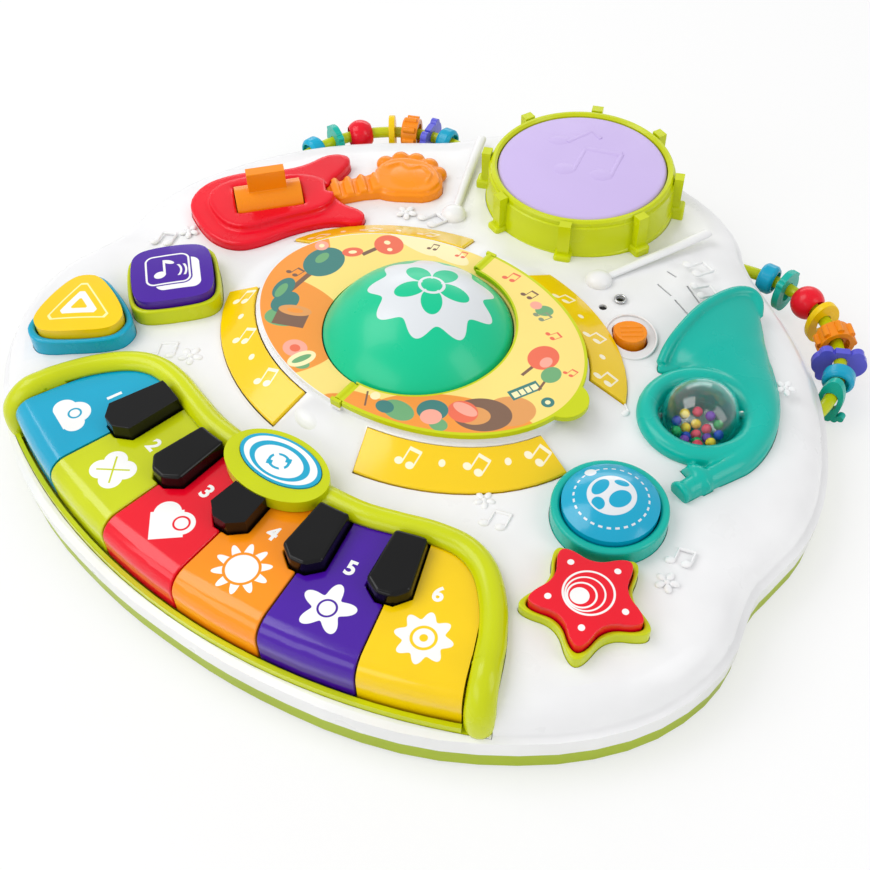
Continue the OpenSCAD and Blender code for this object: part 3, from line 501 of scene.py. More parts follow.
def oval_block(name, x, y, z0, z1, a, b):
    bpy.ops.mesh.primitive_cylinder_add(
        vertices=96, radius=MM, depth=(z1 - z0) * MM, location=spot_at(x, y, (z0 + z1) / 2),
        scale=(a, b, 1))
    return settled(bpy.context.object, name)


def box_block(name, x, y, z0, z1, w, d, turned):
    bpy.ops.mesh.primitive_cube_add(
        size=MM, location=spot_at(x, y, (z0 + z1) / 2), rotation=(0, 0, math.radians(turned)),
        scale=(w, d, z1 - z0))
    return settled(bpy.context.object, name)


def round_ring(name, x, y, z, radius, thick, around, section):
    bpy.ops.mesh.primitive_torus_add(
        location=spot_at(x, y, z), major_radius=radius * MM, minor_radius=thick * MM,
        major_segments=around, minor_segments=section)
    return settled(bpy.context.object, name)


def skin(name, hoops):
    """A closed skin over hoops of points in millimetres, each with the same number of points."""
    net = bmesh.new()
    rings = [[net.verts.new(spot_at(*point)) for point in hoop] for hoop in hoops]
    around = len(rings[0])
    for a, b in zip(rings, rings[1:]):
        for i in range(around):
            j = (i + 1) % around
            net.faces.new((a[i], a[j], b[j], b[i]))
    net.faces.new(rings[0])
    net.faces.new(rings[-1][::-1])
    bmesh.ops.recalc_face_normals(net, faces=net.faces)
    mesh = bpy.data.meshes.new(name)
    net.to_mesh(mesh)
    net.free()
    piece = bpy.data.objects.new(name, mesh)
    scene.collection.objects.link(piece)
    return smoothed(piece, 60)


def oval_hoops(stations, angles):
    """Ovals square to the line through the stations of x, y, z, half width and half height."""
    hoops = []
    for k, (x, y, z, w, h) in enumerate(stations):
        before, after = stations[max(k - 1, 0)], stations[min(k + 1, len(stations) - 1)]
        along = Vector([q - p for p, q in zip(before[:3], after[:3])]).normalized()
        across = along.cross(Vector((0, 0, 1))).normalized()
        over = across.cross(along)
        hoops.append([tuple(Vector((x, y, z)) + across * (w * math.cos(t))
                            + over * (h * math.sin(t))) for t in angles])
    return hoops


def sweep(name, stations, around):
    """A closed skin over whole ovals."""
    return skin(name, oval_hoops(stations, [2 * math.pi * i / around for i in range(around)]))


def bell(name, rim, stations, floor_z, around=36):
    """A bell lying on its side: from its rim line over half ovals, with a flat underside."""
    arcs = oval_hoops(stations, [math.pi * i / around for i in range(around + 1)])
    edge = [rim[round(i * (len(rim) - 1) / around)][:3] for i in range(around + 1)]
    between = []
    for share in (0.0, 0.25, 0.5, 0.75):
        ease = share ** 0.8
        between.append([tuple(p + (q - p) * f for p, q, f in zip(a, b, (share, share, ease)))
                        for a, b in zip(edge, arcs[0])])
    return skin(name, [arc + [(*arc[-1][:2], floor_z), (*arc[0][:2], floor_z)]
                       for arc in between + arcs])


# ---------- picture disc and page ----------

def note_pair(sheet, plane, x, y, turn=0.0, size=1.0):
    """Two quavers joined by a beam, about 10 mm wide at size 1."""
    own = sheet.local(plane, x, y, turn, size, size)
    heads = [sheet.egg(own, x, y, 2.1, 1.6, 20) for x, y in ((-2.9, -3.0), (2.9, -2.2))]
    stems = [sheet.bar(own, x, y, 0.35, 3.6) for x, y in ((-1.2, 0.8), (4.6, 1.6))]
    return any_of(heads + stems + [sheet.bar(own, 1.7, 4.5, 3.2, 0.8, 8)])


def dome_plane(sheet):
    return sheet.flat(0.0, DOME_Y / MM)


# Half width of the page's hinge strip, and the height at which the disc's hinge posts start
HINGE_HALF = 3.6
POST_FOOT = 62.6


def picture(name, layers, rim, rim_colour, hole=None):
    """A printed picture: layers of eggs, bars and notes over a cream ground, and a plain rim.

    With a hole it is the page, which has a plain hinge strip too; without one it is the disc.
    """
    sheet = Sheet(name)
    plane = dome_plane(sheet)
    colour = CREAM
    for shape, x, y, a, b, turned, layer_colour in layers:
        if shape == "note":
            mask = note_pair(sheet, plane, x, y, turned, a)
        else:
            mask = {"egg": sheet.egg, "bar": sheet.bar}[shape](plane, x, y, a, b, turned)
        colour = sheet.mix_colour(mask, colour, layer_colour)
    inside = sheet.oval_depth(plane, 0, 0, *rim)
    if hole:
        across, _ = sheet.split(plane)
        inside = inside.both(sheet.length(plane) - hole).both(across.abs() - HINGE_HALF)
    else:
        height = sheet.add("ShaderNodeSeparateXYZ", {}, sheet.place, out=2) * (1 / MM)
        colour = sheet.mix_colour(sheet.edge(height - POST_FOOT), colour, LIME)
        inside = inside.either(height - (POST_FOOT - 0.2))
    colour = sheet.mix_colour(sheet.edge(inside), rim_colour, colour)
    return sheet.plastic(sheet.shade(colour, 0.96, 1.03), 0.34, 0.02)


ground = tint(241, 152, 62)
tan = tint(226, 158, 92)
brown = tint(126, 96, 78)
leaf = tint(112, 170, 118)
pine = tint(66, 128, 122)
coral = tint(236, 112, 84)
pink = tint(246, 170, 150)
sand = tint(253, 238, 186)
moss = tint(140, 150, 120)
left_layers = [
    ("egg", -84, -52, 62, 42, 20, ground), ("egg", -100, 4, 26, 30, 10, ground),
    ("egg", -60, 62, 34, 9, -14, sand), ("egg", -34, 60, 26, 7, -6, sand),
    ("bar", -76, -8, 1.6, 12, 0, brown), ("egg", -76, 12, 11, 13, 0, pine),
    ("egg", -79, 14, 3, 5, 0, leaf), ("egg", -64, -34, 12, 8, 35, leaf),
    ("egg", -72, -26, 7, 9, 0, pine), ("bar", -59, 38, 1.4, 9, -20, brown),
    ("egg", -55, 45, 9, 8, -10, coral), ("egg", -57, 46, 2, 1.6, 0, sand),
    ("egg", -52, 42, 1.6, 1.4, 0, sand), ("egg", -86, 22, 4, 4, 0, pink),
    ("egg", -86, 22, 1.6, 1.6, 0, sand), ("egg", -44, -50, 7, 6, 0, pink),
    ("egg", -44, -50, 3, 2.6, 0, coral), ("egg", -34, -57, 5, 3.6, 10, leaf),
    ("bar", -61, -34, 9, 6, 22, brown), ("egg", -63, -28, 9.4, 4, 22, tan),
    ("egg", -63, -28, 4.6, 1.8, 22, ground), ("egg", -36, -54, 5, 8, -24, sand),
    ("egg", -36, -54, 2, 5.6, -24, leaf), ("egg", -80, -18, 5.4, 9, 12, pine),
    ("egg", -80, -20, 2.6, 6, 12, leaf), ("egg", -68, 28, 6, 4, 40, coral),
    ("egg", -68, 28, 2.4, 1.4, 40, sand), ("note", -84, -4, 0.8, 0, -10, brown),
    ("note", -33, 58, 0.6, 0, 10, brown), ("note", -16, 62, 0.6, 0, 6, coral),
]
right_layers = [
    ("egg", 60, -50, 46, 22, 22, ground), ("egg", 30, -66, 40, 12, 4, ground),
    ("egg", 76, -24, 13, 10, 40, tan), ("egg", 66, -34, 15, 11, 30, brown),
    ("egg", 63, -37, 8.4, 6, 30, tan), ("egg", 61, -39, 3, 2.2, 30, sand),
    ("bar", 74, -8, 8.4, 3.4, 64, pine), ("bar", 74.4, -8, 7.2, 1.9, 64, sand),
    ("bar", 74.4, -8, 0.4, 1.9, 64, pine), ("bar", 76, -5, 0.4, 1.9, 64, pine),
    ("bar", 72.8, -11, 0.4, 1.9, 64, pine), ("egg", 50, 47, 5, 4, 20, leaf),
    ("egg", 44, 48, 3.4, 3, 0, pink), ("egg", 52, -52, 5, 4, 0, leaf),
    ("egg", 57, -38, 8, 7, 0, coral), ("egg", 57, -36, 7, 3.4, 0, pink),
    ("egg", 44, -46, 8, 7, 30, pine), ("egg", 46, -50, 5.5, 5, 30, pink),
    ("egg", 30, -56, 9, 6, 0, leaf), ("egg", 23, -58, 5, 4, 0, pine),
    ("bar", 12, -59, 0.5, 5, 30, brown), ("egg", 14.6, -55, 2.6, 2.6, 0, sand),
    ("bar", 68, 8, 0.9, 8, -8, brown), ("egg", 69, 17, 8, 9, 0, coral),
    ("egg", 72, 15, 3, 4, 0, pink), ("bar", 79, 2, 0.7, 6, 6, brown),
    ("egg", 79, 9, 5, 6, 0, leaf), ("egg", 88, -8, 3.4, 3.4, 0, pine),
    ("egg", 88, -8, 1.4, 1.4, 0, sand), ("note", 20, 59, 0.8, 0, -6, coral),
    ("note", 36, 53, 0.75, 0, -14, brown), ("note", 51, 43, 0.8, 0, -26, moss),
    ("note", 64, 34, 0.7, 0, -30, coral), ("note", 86, 16, 0.6, 0, -10, coral),
]
under_page = [layer for layer in right_layers if layer[0] != "note"]
disc_paint = picture("printed disc", left_layers + under_page, (96.4, 67.4), WHITE)
page_paint = picture("printed page", right_layers, (96.0, 67.0), LIME, 53.8)


# ---------- windows, dome and caps ----------

# Half axes of the oval that the windows' marks lie on
WINDOW_A, WINDOW_B = 107.5, 79.5


def window_print():
    """Note pairs and dots in a row along each round window."""
    sheet = Sheet("tinted window")
    plane = dome_plane(sheet)
    marks = []
    for side in (-1, 1):
        for end in (-1, 1):
            for k, degrees in enumerate((24, 34, 44, 54, 64)):
                t = math.radians(degrees)
                x, y = side * WINDOW_A * math.cos(t), end * WINDOW_B * math.sin(t)
                if k % 2:
                    marks.append(sheet.spot(plane, x, y, 1.7))
                else:
                    marks.append(note_pair(sheet, plane, x, y, 0.0, 1.05))
    amber = sheet.mix_colour(any_of(marks), WINDOW, tint(255, 244, 214))
    return sheet.plastic(sheet.shade(amber, 0.97, 1.03), 0.16, 0.01, 0.4)


def dome_print():
    """A pale splash with a flower in it."""
    sheet = Sheet("tinted dome")
    plane = dome_plane(sheet)
    x, y = 4, 8
    petals = []
    for degrees in range(90, 450, 72):
        u, v = 12 * math.cos(math.radians(degrees)), 12 * math.sin(math.radians(degrees))
        petals.append(sheet.egg(plane, x + u, y + v, 8.4, 5.6, degrees))
    flower = any_of(petals).without(sheet.ring(plane, x, y, 6.4, 1.6))
    flower = flower.either(sheet.spot(plane, x, y, 5.2))
    splash = sheet.lobes(plane, x, y, 30.5, 3.6, 9, 12)
    green = sheet.mix_colour(splash.without(flower), DOME, PALE_GREY)
    return sheet.plastic(sheet.shade(green, 0.96, 1.03, 8.0), 0.3, 0.01)


def mode_print():
    """Rings with two round arrows in them."""
    sheet = Sheet("mode print")
    plane = sheet.flat(0.0, -128.0)
    outer = sheet.egg(plane, 0, 0, 21.6, 11.7).without(sheet.egg(plane, 0, -0.6, 17.6, 10.2))
    own = sheet.local(plane, 0, -1.0, 0, 1.25, 1.0)
    arrows = sheet.ring(own, 0, 0, 4.2, 1.3).without(sheet.bar(own, 0, 0, 1.1, 9, 50))
    arrows = any_of((arrows, sheet.bar(own, 3.0, 2.9, 1.3, 1.3, 20),
                     sheet.bar(own, -3.0, -2.9, 1.3, 1.3, 20)))
    marks = outer.either(sheet.egg(plane, 0, -1.0, 14.0, 8.4).without(arrows))
    return sheet.plastic(sheet.mix_colour(marks, BLUE, PRINT_WHITE), 0.2, 0.01, 0.5)


def square_print():
    """A rounded frame over an offset pale square, with a note and sound arcs in it."""
    sheet = Sheet("square cap print")
    plane = sheet.flat(-140.0, -61.0, 48)
    corner = 5.0
    flat_half = 12.6 - corner

    def depth(x, y):
        """Depth into a square with round corners."""
        here = sheet.vector("ABSOLUTE", sheet.local(plane, x, y))
        here = sheet.vector("SUBTRACT", here, (flat_half, flat_half, 0.0))
        here = sheet.vector("MAXIMUM", here, (0.0, 0.0, 0.0))
        return corner - sheet.length(sheet.vector("MULTIPLY", here, (1.0, 1.0, 0.0)))

    front = depth(-2.0, 2.0)
    outline = sheet.edge(front).without(sheet.edge(front - 1.1))
    behind = sheet.edge(depth(3.2, -2.4)).without(sheet.edge(front + 0.9))
    arcs = sheet.ring(plane, -2, 0, 7.5, 1.2).either(sheet.ring(plane, -2, 0, 10.3, 1.2))
    arcs = arcs.both(sheet.bar(plane, 6.6, 0, 4.0, 4.6))
    marks = any_of((outline, behind, arcs, sheet.egg(plane, -6.5, -2.5, 3.4, 2.7, 20),
                    sheet.bar(plane, -3.8, 3.6, 0.65, 6.4),
                    sheet.egg(plane, -1.2, 7.8, 3.4, 1.5, -28)))
    return sheet.plastic(sheet.shade(sheet.mix_colour(marks, PURPLE, PRINT_WHITE)), 0.22, 0.02, 0.3)


def triangle_print():
    """Rounded triangles in each other."""
    sheet = Sheet("triangle cap print")
    plane = sheet.flat(-161.4, -110.4, 9)

    def wedge(r, corner):
        """A triangle whose sides are r from its middle, with rounded corners."""
        x, y = sheet.split(plane)
        depth = (r - x * -1).both(r - (x * 0.5 + y * 0.866)).both(r - (x * 0.5 - y * 0.866))
        return sheet.edge(depth.both(2 * r - corner - sheet.length(plane)))

    outline = wedge(10.6, 3.0).without(wedge(9.7, 2.7))
    inner = wedge(6.6, 2.4).without(wedge(2.9, 1.0))
    colour = sheet.mix_colour(outline, YELLOW, tint(255, 246, 176))
    colour = sheet.mix_colour(inner, colour, PRINT_WHITE)
    return sheet.plastic(sheet.shade(colour), 0.22, 0.02, 0.3)


def star_print():
    """Circles leaning on each other and five dots."""
    sheet = Sheet("star cap print")
    plane = sheet.flat(163.0, -105.0, 4)
    marks = [sheet.ring(plane, 0, 0, 11.6, 1.0), sheet.ring(plane, -1.0, -1.4, 9.0, 0.8),
             sheet.ring(plane, -2.0, -2.8, 6.6, 0.9), sheet.spot(plane, -2.7, -3.6, 4.4)]
    for degrees in range(0, 360, 72):
        t = math.radians(degrees)
        marks.append(sheet.spot(plane, 18.4 * math.cos(t), 18.4 * math.sin(t), 1.6))
    colour = sheet.mix_colour(any_of(marks), RED, PRINT_WHITE)
    return sheet.plastic(sheet.shade(colour), 0.2, 0.02, 0.3)


def globe_print():
    """A ball of sea and land, a dashed path round it and a dot on the path."""
    sheet = Sheet("globe cap print")
    plane = sheet.flat(144.5, -55.5, 37)
    land = any_of(sheet.egg(plane, *shape) for shape in (
        (3.6, -3.0, 6.0, 4.4, 35), (-5.0, 4.6, 5.6, 3.4, 50), (5.4, 6.6, 3.6, 2.0, -20),
        (-7.0, -5.0, 3.0, 3.6, 20)))
    dashes = sheet.edge((sheet.angle(plane) * 28).math("SINE") * 0.8)
    marks = any_of((sheet.ring(plane, 0, 0, 11.4, 0.8), sheet.spot(plane, 0, 0, 11.4).without(land),
                    sheet.ring(plane, 0, 0, 17.9, 0.9).both(dashes),
                    sheet.spot(plane, -8.4, 15.8, 2.8)))
    return sheet.plastic(sheet.shade(sheet.mix_colour(marks, BLUE, PALE_GREY)), 0.2, 0.02, 0.3)


# ---------- key prints ----------

def cloud(sheet, plane):
    puffs = any_of((sheet.spot(plane, -5, -1, 5), sheet.spot(plane, 5, -1, 4.6),
                    sheet.spot(plane, 0, 2.4, 6), sheet.bar(plane, 0, -4, 6, 2)))
    return puffs.without(sheet.ring(plane, 0, 1.5, 2.6, 0.9))


def clover(sheet, plane):
    turns = [math.radians(degrees) for degrees in range(45, 405, 90)]
    leaves = any_of(sheet.spot(plane, 4.9 * math.cos(t), 4.9 * math.sin(t), 4.9) for t in turns)
    return leaves.without(sheet.bar(plane, 0, 0, 0.4, 7, 45)).without(
        sheet.bar(plane, 0, 0, 0.4, 7, -45))


def heart(sheet, plane):
    whole = any_of((sheet.spot(plane, -4.1, 2.4, 5.6), sheet.spot(plane, 4.1, 2.4, 5.6),
                    sheet.bar(plane, 0, -1.8, 6.7, 6.7, 45)))
    return whole.without(sheet.ring(plane, 4.1, 2.4, 3.2, 0.9))


def sun(sheet, plane):
    rays = sheet.lobes(plane, 0, 0, 9.4, 2.4, 10).without(sheet.spot(plane, 0, 0, 7.6))
    return sheet.spot(plane, 0, 0, 6.4).either(rays)


def star(sheet, plane):
    return sheet.lobes(plane, 0, 0, 8.6, 2.7, 5, 90).without(sheet.ring(plane, 0, 0, 3.6, 0.9))


def blossom(sheet, plane):
    petals = sheet.lobes(plane, 0, 0, 9.6, 1.6, 8).without(sheet.ring(plane, 0, 0, 4.6, 1.2))
    return petals.without(sheet.spot(plane, 0, 0, 1.6))


# The keys from the left, and the radii of their motifs and numbers from the arcs' middle
KEYS = (("key_blue", BLUE, cloud), ("key_green", LIME, clover), ("key_red", RED, heart),
        ("key_orange", ORANGE, sun), ("key_purple", PURPLE, star), ("key_yellow", YELLOW, blossom))
MOTIF_R = 326.0
NUMBER_R = 302.5


def key_turn(index):
    return math.radians((index - (len(KEYS) - 1) / 2) * KEY_STEP)


def key_print(index, colour, motif):
    """A coloured key with its own small white motif."""
    sheet = Sheet(f"key {index + 1} print")
    t = key_turn(index)
    plane = sheet.flat(MOTIF_R * math.sin(t), FAN_Y / MM - MOTIF_R * math.cos(t),
                       math.degrees(t), 1.22)
    colour = sheet.mix_colour(motif(sheet, plane), colour, PRINT_WHITE)
    return sheet.plastic(sheet.shade(colour), 0.17, 0.015, 0.3)


# ---------- plain materials, and the nodes that show as they are ----------

lime = plain("lime plastic", LIME)
base_lime = plain("lime tray", DEEP_LIME, 0.34)
deck_white = plain("white deck", WHITE, 0.3, 0.03, 0.2)
blue = plain("blue plastic", BLUE)
red = plain("red plastic", RED)
orange = plain("orange plastic", ORANGE)
yellow = plain("yellow plastic", YELLOW)
black = plain("black plastic", BLACK, 0.2, 0.02, 0.0, 0.24)
teal = plain("teal plastic", TEAL)
violet = plain("violet plastic", VIOLET)

sheet = Sheet("lilac drum skin")
lilac = sheet.plastic(sheet.shade(LILAC, 0.97, 1.02), 0.4, 0.08, 0.0)

sheet = Sheet("plated steel")
brushed = sheet.add("ShaderNodeMapRange", {}, sheet.noise(260.0, 4.0), 0.3, 0.7, 0.22, 0.42)
steel = sheet.finish(sheet.add(
    "ShaderNodeBsdfPrincipled", {}, Base_Color=sheet.shade(tint(190, 190, 192)), Metallic=1.0,
    Roughness=brushed))

sheet = Sheet("clear plastic")
smear = sheet.add("ShaderNodeMapRange", {}, sheet.noise(60.0, 3.0), 0.4, 0.7, 0.02, 0.07)
clear = sheet.finish(sheet.add(
    "ShaderNodeBsdfPrincipled", {}, Base_Color=(0.97, 0.99, 0.99, 1.0), Roughness=smear,
    Transmission_Weight=1.0, IOR=1.28, Coat_Weight=0.6, Coat_Roughness=0.03))

paint(base_lime, "battery_door")
paint(lime, "rail_right", "rail_left")
paint(plain("rubber foot", tint(60, 60, 62), 0.75, 0.3, 0.0), "rubber_feet")
paint(steel, "case_screws", "battery_contacts")
paint(black, "speaker")
paint(plain("circuit board", tint(20, 90, 50), 0.35), "main_board")
paint(plain("cell sleeve", tint(40, 60, 120), 0.3), "batteries")
paint(clear, "rattle_ball")
paint(dome_print(), "dome_button")
paint(globe_print(), "globe_button")


# ---------- the piano's rounded bezel ----------

# Height and radius of its tube, and how far its ends turn outwards in degrees
TUBE_Z, TUBE_R = 51.3, 6.8
END_TURN = 23.5
tube_line = [(14, -112), (26, -112), (48, -110), (67, -104.5), (84, -99), (101, -97),
             (116, -102.5), (130, -116), (141, -133), (144.6, -141.9)]
nose_line = [(139.6, -130.5, TUBE_Z, TUBE_R), (144.8, -141.9, TUBE_Z, TUBE_R),
             (147.1, -147, 50.4, 6.9), (149.3, -152.3, 46.8, 7.1), (151, -155.9, 41.2, 7.3),
             (151.5, -156.8, 35, 7.4), (151.5, -156.8, 29, 7.4)]
bezel = copied("piano_bezel", "bezel")
cut_level(bezel, 52.6, keep_below=True)
for side in (-1, 1):
    block = box_block("nose cut", side * 152.2, -159.4, 26.8, 60, 13.6, 36, side * END_TURN)
    carved(bezel, block)
    bpy.data.objects.remove(block)
corners = []
for side in (-1, 1):
    block = box_block("corner cut", side * 156.7, -153.3, 8, 26.8, 13, 30, side * END_TURN)
    corner = copied("piano_bezel", "shell corner")
    carved(corner, block, "INTERSECT")
    corners.append(smoothed(corner))
    carved(bezel, block)
    bpy.data.objects.remove(block)
give(joined("shell_corners", *corners), deck_white)
smoothed(bezel)

bezel_parts = []
for side in (-1, 1):
    arch = tube("bezel tube", flow([(side * x, y, TUBE_Z, TUBE_R) for x, y in tube_line], 5), 6)
    cut_level(arch, 52.5)
    bezel_parts.append(arch)
    nose = flow([(side * x, y, z, r) for x, y, z, r in nose_line], 6)
    x, y, z, r = nose[-1]
    for degrees in (20, 40, 58, 74, 86):
        t = math.radians(degrees)
        nose.append((x, y, z - r * math.sin(t), r * math.cos(t)))
    bezel_parts.append(tube("bezel nose", nose, 6))
    bezel_parts.append(box_block("bezel foot", side * 149.2, -152.4, 26.9, 41, 13.2, 10,
                                 side * END_TURN))
boss = oval_block("boss", 0, -115, 52.6, 60.2, 30.2, 19.2)
opening = oval_block("boss opening", 0, -112, 50, 62, 24.35, 13.35)
carved(boss, opening)
bpy.data.objects.remove(opening)
bezel_parts.append(rounded(boss, 2.2, 4, 40))
bezel = joined("bezel_moulding", bezel, *bezel_parts)
give(bezel, lime)
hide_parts("piano_bezel")


# ---------- guitar ----------

puffed("guitar_body", red, level=46.0, radius=2.4, voxel=0.9, rounds=12)
neck_bumps = [egg_shape("peg", x, y, 47.6, 6.0, 6.0, 4.8) for x, y in (
    (-116.5, 119.5), (-111.5, 128.5), (-102.5, 133), (-92.5, 133.5), (-83, 129.5))]
for x, y in ((-124.5, 79.5), (-119, 85.7), (-113.5, 92), (-108, 98.2)):
    neck_bumps.append(sweep("fret", [(x - 4.6, y + 4.0, 51.6, 2.2, 2.4), (x, y, 51.8, 2.3, 2.6),
                                     (x + 4.6, y - 4.0, 51.6, 2.2, 2.4)], 16))
neck_bumps.append(egg_shape("head pillow", -92, 112.5, 50, 19, 17.5, 4.6, 20))
head_line = [(-109, 112, 53.9), (-104, 119, 54.1), (-96, 118, 54.5), (-91, 124, 54.2),
             (-82, 121, 54.1), (-79, 113, 53.8)]
neck_bumps.append(sweep("head ridge", flow([(*spot, 0.9, 0.8) for spot in head_line], 4), 10))
puffed("guitar_neck", orange, level=44.0, radius=1.4, voxel=0.7, rounds=5, extras=neck_bumps)


# ---------- trumpet: a flaring cone with a rolled lip, winding round the ball ----------

cone_line = flow([(136, 92, 45, 28, 12.6), (143, 88, 45, 24.4, 11.6), (150, 83.5, 45.2, 20.5, 10.8),
                  (161.5, 75.5, 46, 15.5, 10.0), (171.5, 65.5, 46.8, 11.5, 9.2),
                  (177.6, 54, 47.8, 8.8, 8.0), (180, 40, 48.6, 6.8, 6.6),
                  (178.8, 26, 48.8, 6.2, 6.2), (174.4, 14, 48.8, 5.8, 6.0),
                  (170.5, 5, 48.8, 5.6, 5.8), (166.5, -5, 48.8, 5.4, 5.6)], 5)
lip_line = flow([(114.2, 64.5, 49, 2.9, 2.9), (112.8, 74.5, 53.4, 3.0, 3.0),
                 (113.0, 87, 56.4, 3.1, 3.1), (114.6, 103.5, 58.2, 3.2, 3.2),
                 (119.0, 119.5, 58.6, 3.2, 3.2), (124.2, 131, 57.2, 3.2, 3.2),
                 (130, 136.6, 54.8, 3.1, 3.1), (135.8, 134.8, 52.2, 3.0, 3.0),
                 (139.8, 128, 49, 2.8, 2.8)], 5)
horn_ring = round_ring("horn ring", BALL_X, BALL_Y, 49.6, 27.2, 5.8, 96, 24)
mouth = [sweep("collar of the mouthpiece", [(169.8, 9, 49.5, 7.6, 5.6), (168.6, 6, 49.6, 9.2, 6.4),
                                            (167.4, 3, 49.5, 7.6, 5.6)], 24),
         sweep("mouthpiece", [(166.2, -5.4, 49.6, 5.4, 5.4), (165.6, -7.2, 49.6, 6.6, 6.2),
                              (165.1, -8.6, 49.6, 5.6, 5.2)], 24)]
horn = [bell("horn bell", lip_line, cone_line, 40), sweep("horn lip", lip_line, 20), horn_ring]
puffed("trumpet_body", teal, level=45.5, radius=0, voxel=0.85, rounds=5, extras=horn + mouth,
       top=48.8)


# ---------- mouldings with rounded edges ----------

for name, material in (("top_shell", deck_white), ("base_shell", base_lime)):
    shell = smoothed(copied(name, name + "_moulding"), 40)
    give(shell, material)
    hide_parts(name)

for name, material, body, radius, segments in (
        ("square_collar", lime, "casing", 1.5, 3),
        ("star_collar", lime, "casing", 1.4, 3),
        ("triangle_collar", blue, "casing", 1.5, 3),
        ("globe_collar", teal, "casing", 1.6, 3),
        ("drum_shell", lime, "casing", 1.2, 3),
        ("drum_head", lilac, "drum", 0.6, 2),
        ("light_windows", window_print(), "casing", 1.8, 4),
        ("flip_page", page_paint, "page", 0.6, 2),
        ("picture_disc", disc_paint, "casing", 0.5, 2),
        ("mode_button", mode_print(), "mode", 0.8, 2),
        ("strum_lever", orange, "strummer", 1.6, 4),
        ("square_button", square_print(), "square", 3.2, 4),
        ("triangle_button", triangle_print(), "triangle", 3.2, 4),
        ("star_button", star_print(), "star", 1.8, 3)):
    moulded(name, material, body, radius, segments)

for side, count in (("right", 8), ("left", 7)):
    for k, material in enumerate((blue, teal, red, yellow, orange, violet, blue, teal)[:count], 1):
        moulded(f"{side}_bead_{k}", material, f"bead_{side[0]}{k}", radius=0.5, segments=2)
for k in range(1, 6):
    moulded(f"black_key_{k}", black, f"black_{k}", radius=2.2, segments=4)
for index, (name, colour, motif) in enumerate(KEYS):
    moulded(name, key_print(index, colour, motif), name, radius=0.9, segments=3, limit=24)

# Feet of the drum's eight lugs, which reach down through the deck where it slopes
FOOT_R = 59.4
feet = [box_block("lug foot", FOOT_R * math.cos(t), DRUM_Y + FOOT_R * math.sin(t), 30.4, 50.4,
                  10.6, 10.2, math.degrees(t))
        for t in [math.radians(45 * k + 22.5) for k in range(8)]]
give(rounded(joined("drum_lug_feet", *feet), radius=1.9, segments=4), lime)

# The switch stands lower over the deck than its solid
deck = DECK_Z * MM
LOWERED = 0.6
for corner in moulded("beak_switch", orange, "beak", radius=1.2, segments=3).data.vertices:
    corner.co.z = min(corner.co.z, deck + (corner.co.z - deck) * LOWERED)


# ---------- loose balls in the clear ball ----------

# Their radius and how far they lie from the ball's middle: one at the bottom, then two rings
# at 25 and 50 degrees up the ball's side
LOOSE_R, LOOSE_DEPTH = 2.8, 15.2
loose_colours = (("red", tint(236, 70, 100)), ("yellow", tint(250, 220, 30)),
                 ("blue", tint(30, 60, 190)), ("green", tint(40, 170, 90)),
                 ("violet", tint(120, 60, 180)))
spots = ([(0.0, 0.0)] + [(25.0, 60.0 * k) for k in range(6)]
         + [(50.0, 36.0 * k + 10) for k in range(10)])
for number, (word, colour) in enumerate(loose_colours):
    parts = []
    for tilted, turned in spots[number::len(loose_colours)]:
        a, b = math.radians(tilted), math.radians(turned)
        bpy.ops.mesh.primitive_uv_sphere_add(
            segments=20, ring_count=12, radius=LOOSE_R * MM,
            location=spot_at(BALL_X - LOOSE_DEPTH * math.sin(a) * math.cos(b),
                             BALL_Y - LOOSE_DEPTH * math.sin(a) * math.sin(b),
                             BALL_Z - LOOSE_DEPTH * math.cos(a)))
        bpy.ops.object.shade_smooth()
        parts.append(settled(bpy.context.object))
    loose = joined(f"loose_balls_{word}", *parts)
    give(loose, plain(f"{word} ball", colour, 0.18), "rattle")
    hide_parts("rattle_beads")


# ---------- numbers on the keys ----------

for index, (name, _, _) in enumerate(KEYS):
    t = key_turn(index)
    bpy.ops.object.text_add(
        location=(NUMBER_R * MM * math.sin(t), FAN_Y - NUMBER_R * MM * math.cos(t), 51.95 * MM),
        rotation=(0, 0, t))
    number = bpy.context.object
    number.data.body = str(index + 1)
    number.data.size = 11 * MM
    number.data.align_x, number.data.align_y = "CENTER", "CENTER"
    number.data.extrude = 0.12 * MM
    number.data.offset = 0.35 * MM
    only(number)
    bpy.ops.object.convert(target="MESH")
    number = settled(sealed(bpy.context.object), f"key_number_{index + 1}")
    give(number, plain(f"number {index + 1} print", PRINT_WHITE, 0.3, 0.0, 0.0), name)


# ---------- raised shapes on the deck and the drum ----------

def raised_notes(x, y, turned, size, low=48.2, proud=1.2):
    """Two joined quavers standing proud of the surface at low, by a millimetre on the deck."""
    t = math.radians(turned)

    def placed(u, v):
        return (x + size * (u * math.cos(t) - v * math.sin(t)),
                y + size * (u * math.sin(t) + v * math.cos(t)))

    parts = [egg_shape("note head", *placed(*head), low, 2.3 * size, 1.8 * size, proud, turned + 20)
             for head in ((-3.4, -3.2), (3.6, -2.4))]
    for first, last, thick in (((-1.7, -3.0), (-1.7, 4.2), 0.5), ((5.3, -2.2), (5.3, 5.0), 0.5),
                               ((-1.7, 4.2), (5.3, 5.0), 0.8)):
        line = [(*placed(*spot), low, thick * size, proud - 0.2) for spot in (first, last)]
        parts.append(sweep("note stem", line, 12))
    return parts


def raised_blossom(x, y, size):
    low = 48.1
    parts = []
    for degrees in range(20, 380, 72):
        t = math.radians(degrees)
        parts.append(egg_shape("petal", x + size * 3 * math.cos(t), y + size * 3 * math.sin(t), low,
                               2.1 * size, 1.5 * size, 1.2, degrees))
    return parts + [egg_shape("blossom heart", x, y, low, 1.3 * size, 1.3 * size, 1.5)]


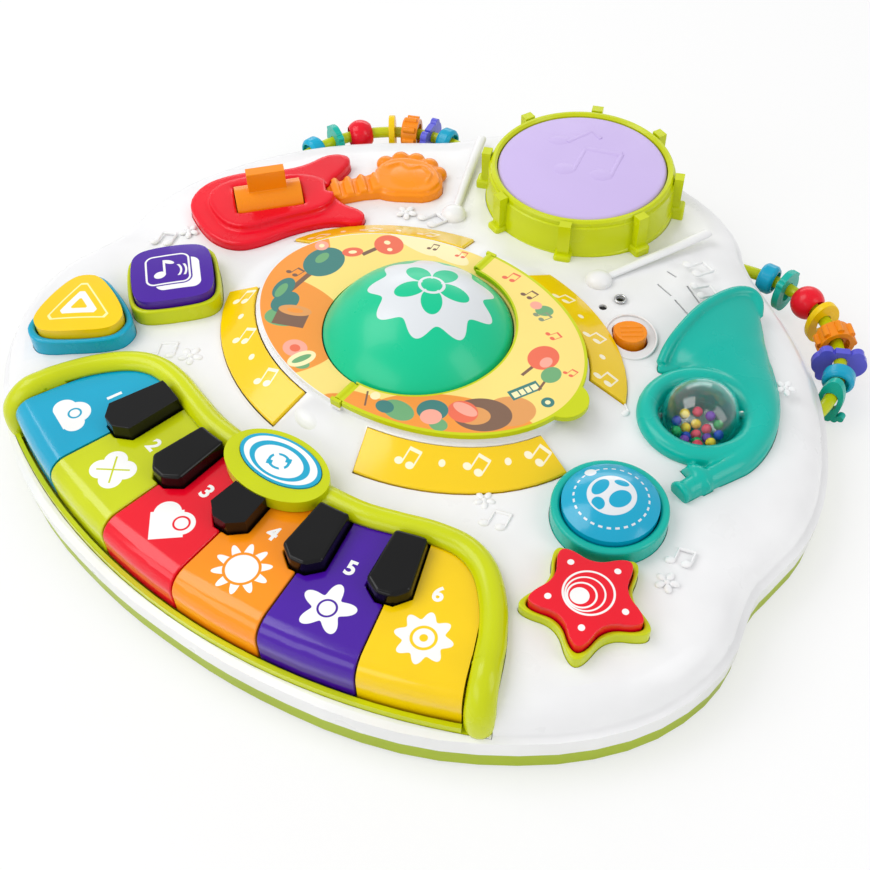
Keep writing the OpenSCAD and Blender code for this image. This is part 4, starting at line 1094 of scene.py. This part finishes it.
raised = []
for x, y, turned, size in (
        (-180, -16, 20, 1.2), (-60, 92, -20, 1.3), (101, -73, 10, 1.2), (184, -40, 10, 1.1),
        (92, 146, -30, 1.3), (104, 131, -40, 1.2), (-112, -84, 30, 1.3), (112, 22, 50, 1.1)):
    raised += raised_notes(x, y, turned, size)
for x, y, size in ((-172, -2, 1.2), (-76, 88, 1.3), (-97, -78, 1.4), (90, -66, 1.1),
                   (186, -56, 1.2), (-160, -20, 1.0), (176, 88, 1.1)):
    raised += raised_blossom(x, y, size)
raised.append(egg_shape("divider", -13, -76, 49.0, 14, 8.5, 7.0, -14))
raised.append(egg_shape("divider", 1, -82, 48.4, 8, 5.5, 3.6, -24))
for side in (-1, 1):
    raised.append(egg_shape("stick knob", side * 51.5, 103.5, 48, 7.6, 7.6, 4.8))
    raised.append(sweep("stick", [
        (side * 52, 105, 48, 2.4, 1.8), (side * 68, 142, 48, 2.9, 2.0),
        (side * 82, 176, 48, 3.4, 2.0), (side * 83, 178.4, 47.6, 2.4, 1.2)], 16))
tip = math.radians(127)
rim_line = []
for degrees in range(0, 366, 6):
    t = math.radians(degrees)
    u, v = 17.5 * math.cos(t), 14 * math.sin(t)
    rim_line.append((90 + u * math.cos(tip) - v * math.sin(tip),
                     74.5 + u * math.sin(tip) + v * math.cos(tip), 47.9, 0.7))
raised.append(tube("beak rim", rim_line, 4))
give(joined("raised_deck_shapes", *raised), deck_white)

drum_notes = raised_notes(2, 167, 14, 3.2, 69.8, 0.85)
drum_notes.append(egg_shape("note head", -24.5, 177.1, 69.6, 6.8, 5.4, 0.85, 34))
drum_notes.append(sweep("note stem", [
    (-19.2, 178.4, 69.7, 1.7, 0.65), (-13.1, 196.9, 69.45, 1.7, 0.65),
    (-4.2, 193.1, 69.6, 1.7, 0.65)], 12))
give(joined("drum_head_notes", *drum_notes), lilac, "drum")

# Bright ring of the right eye and a dark lens in each
eye_ring = round_ring("eye_ring", 69.8, 97, 48.1, 3.1, 0.7, 48, 16)
bpy.ops.object.shade_smooth()
give(eye_ring, steel)
lenses = [egg_shape("lens", x, y, 45.4, r, r, 1.2) for x, y, r in ((65, 86, 2.5), (69.8, 97, 3.0))]
give(joined("eye_lenses", *lenses), black)
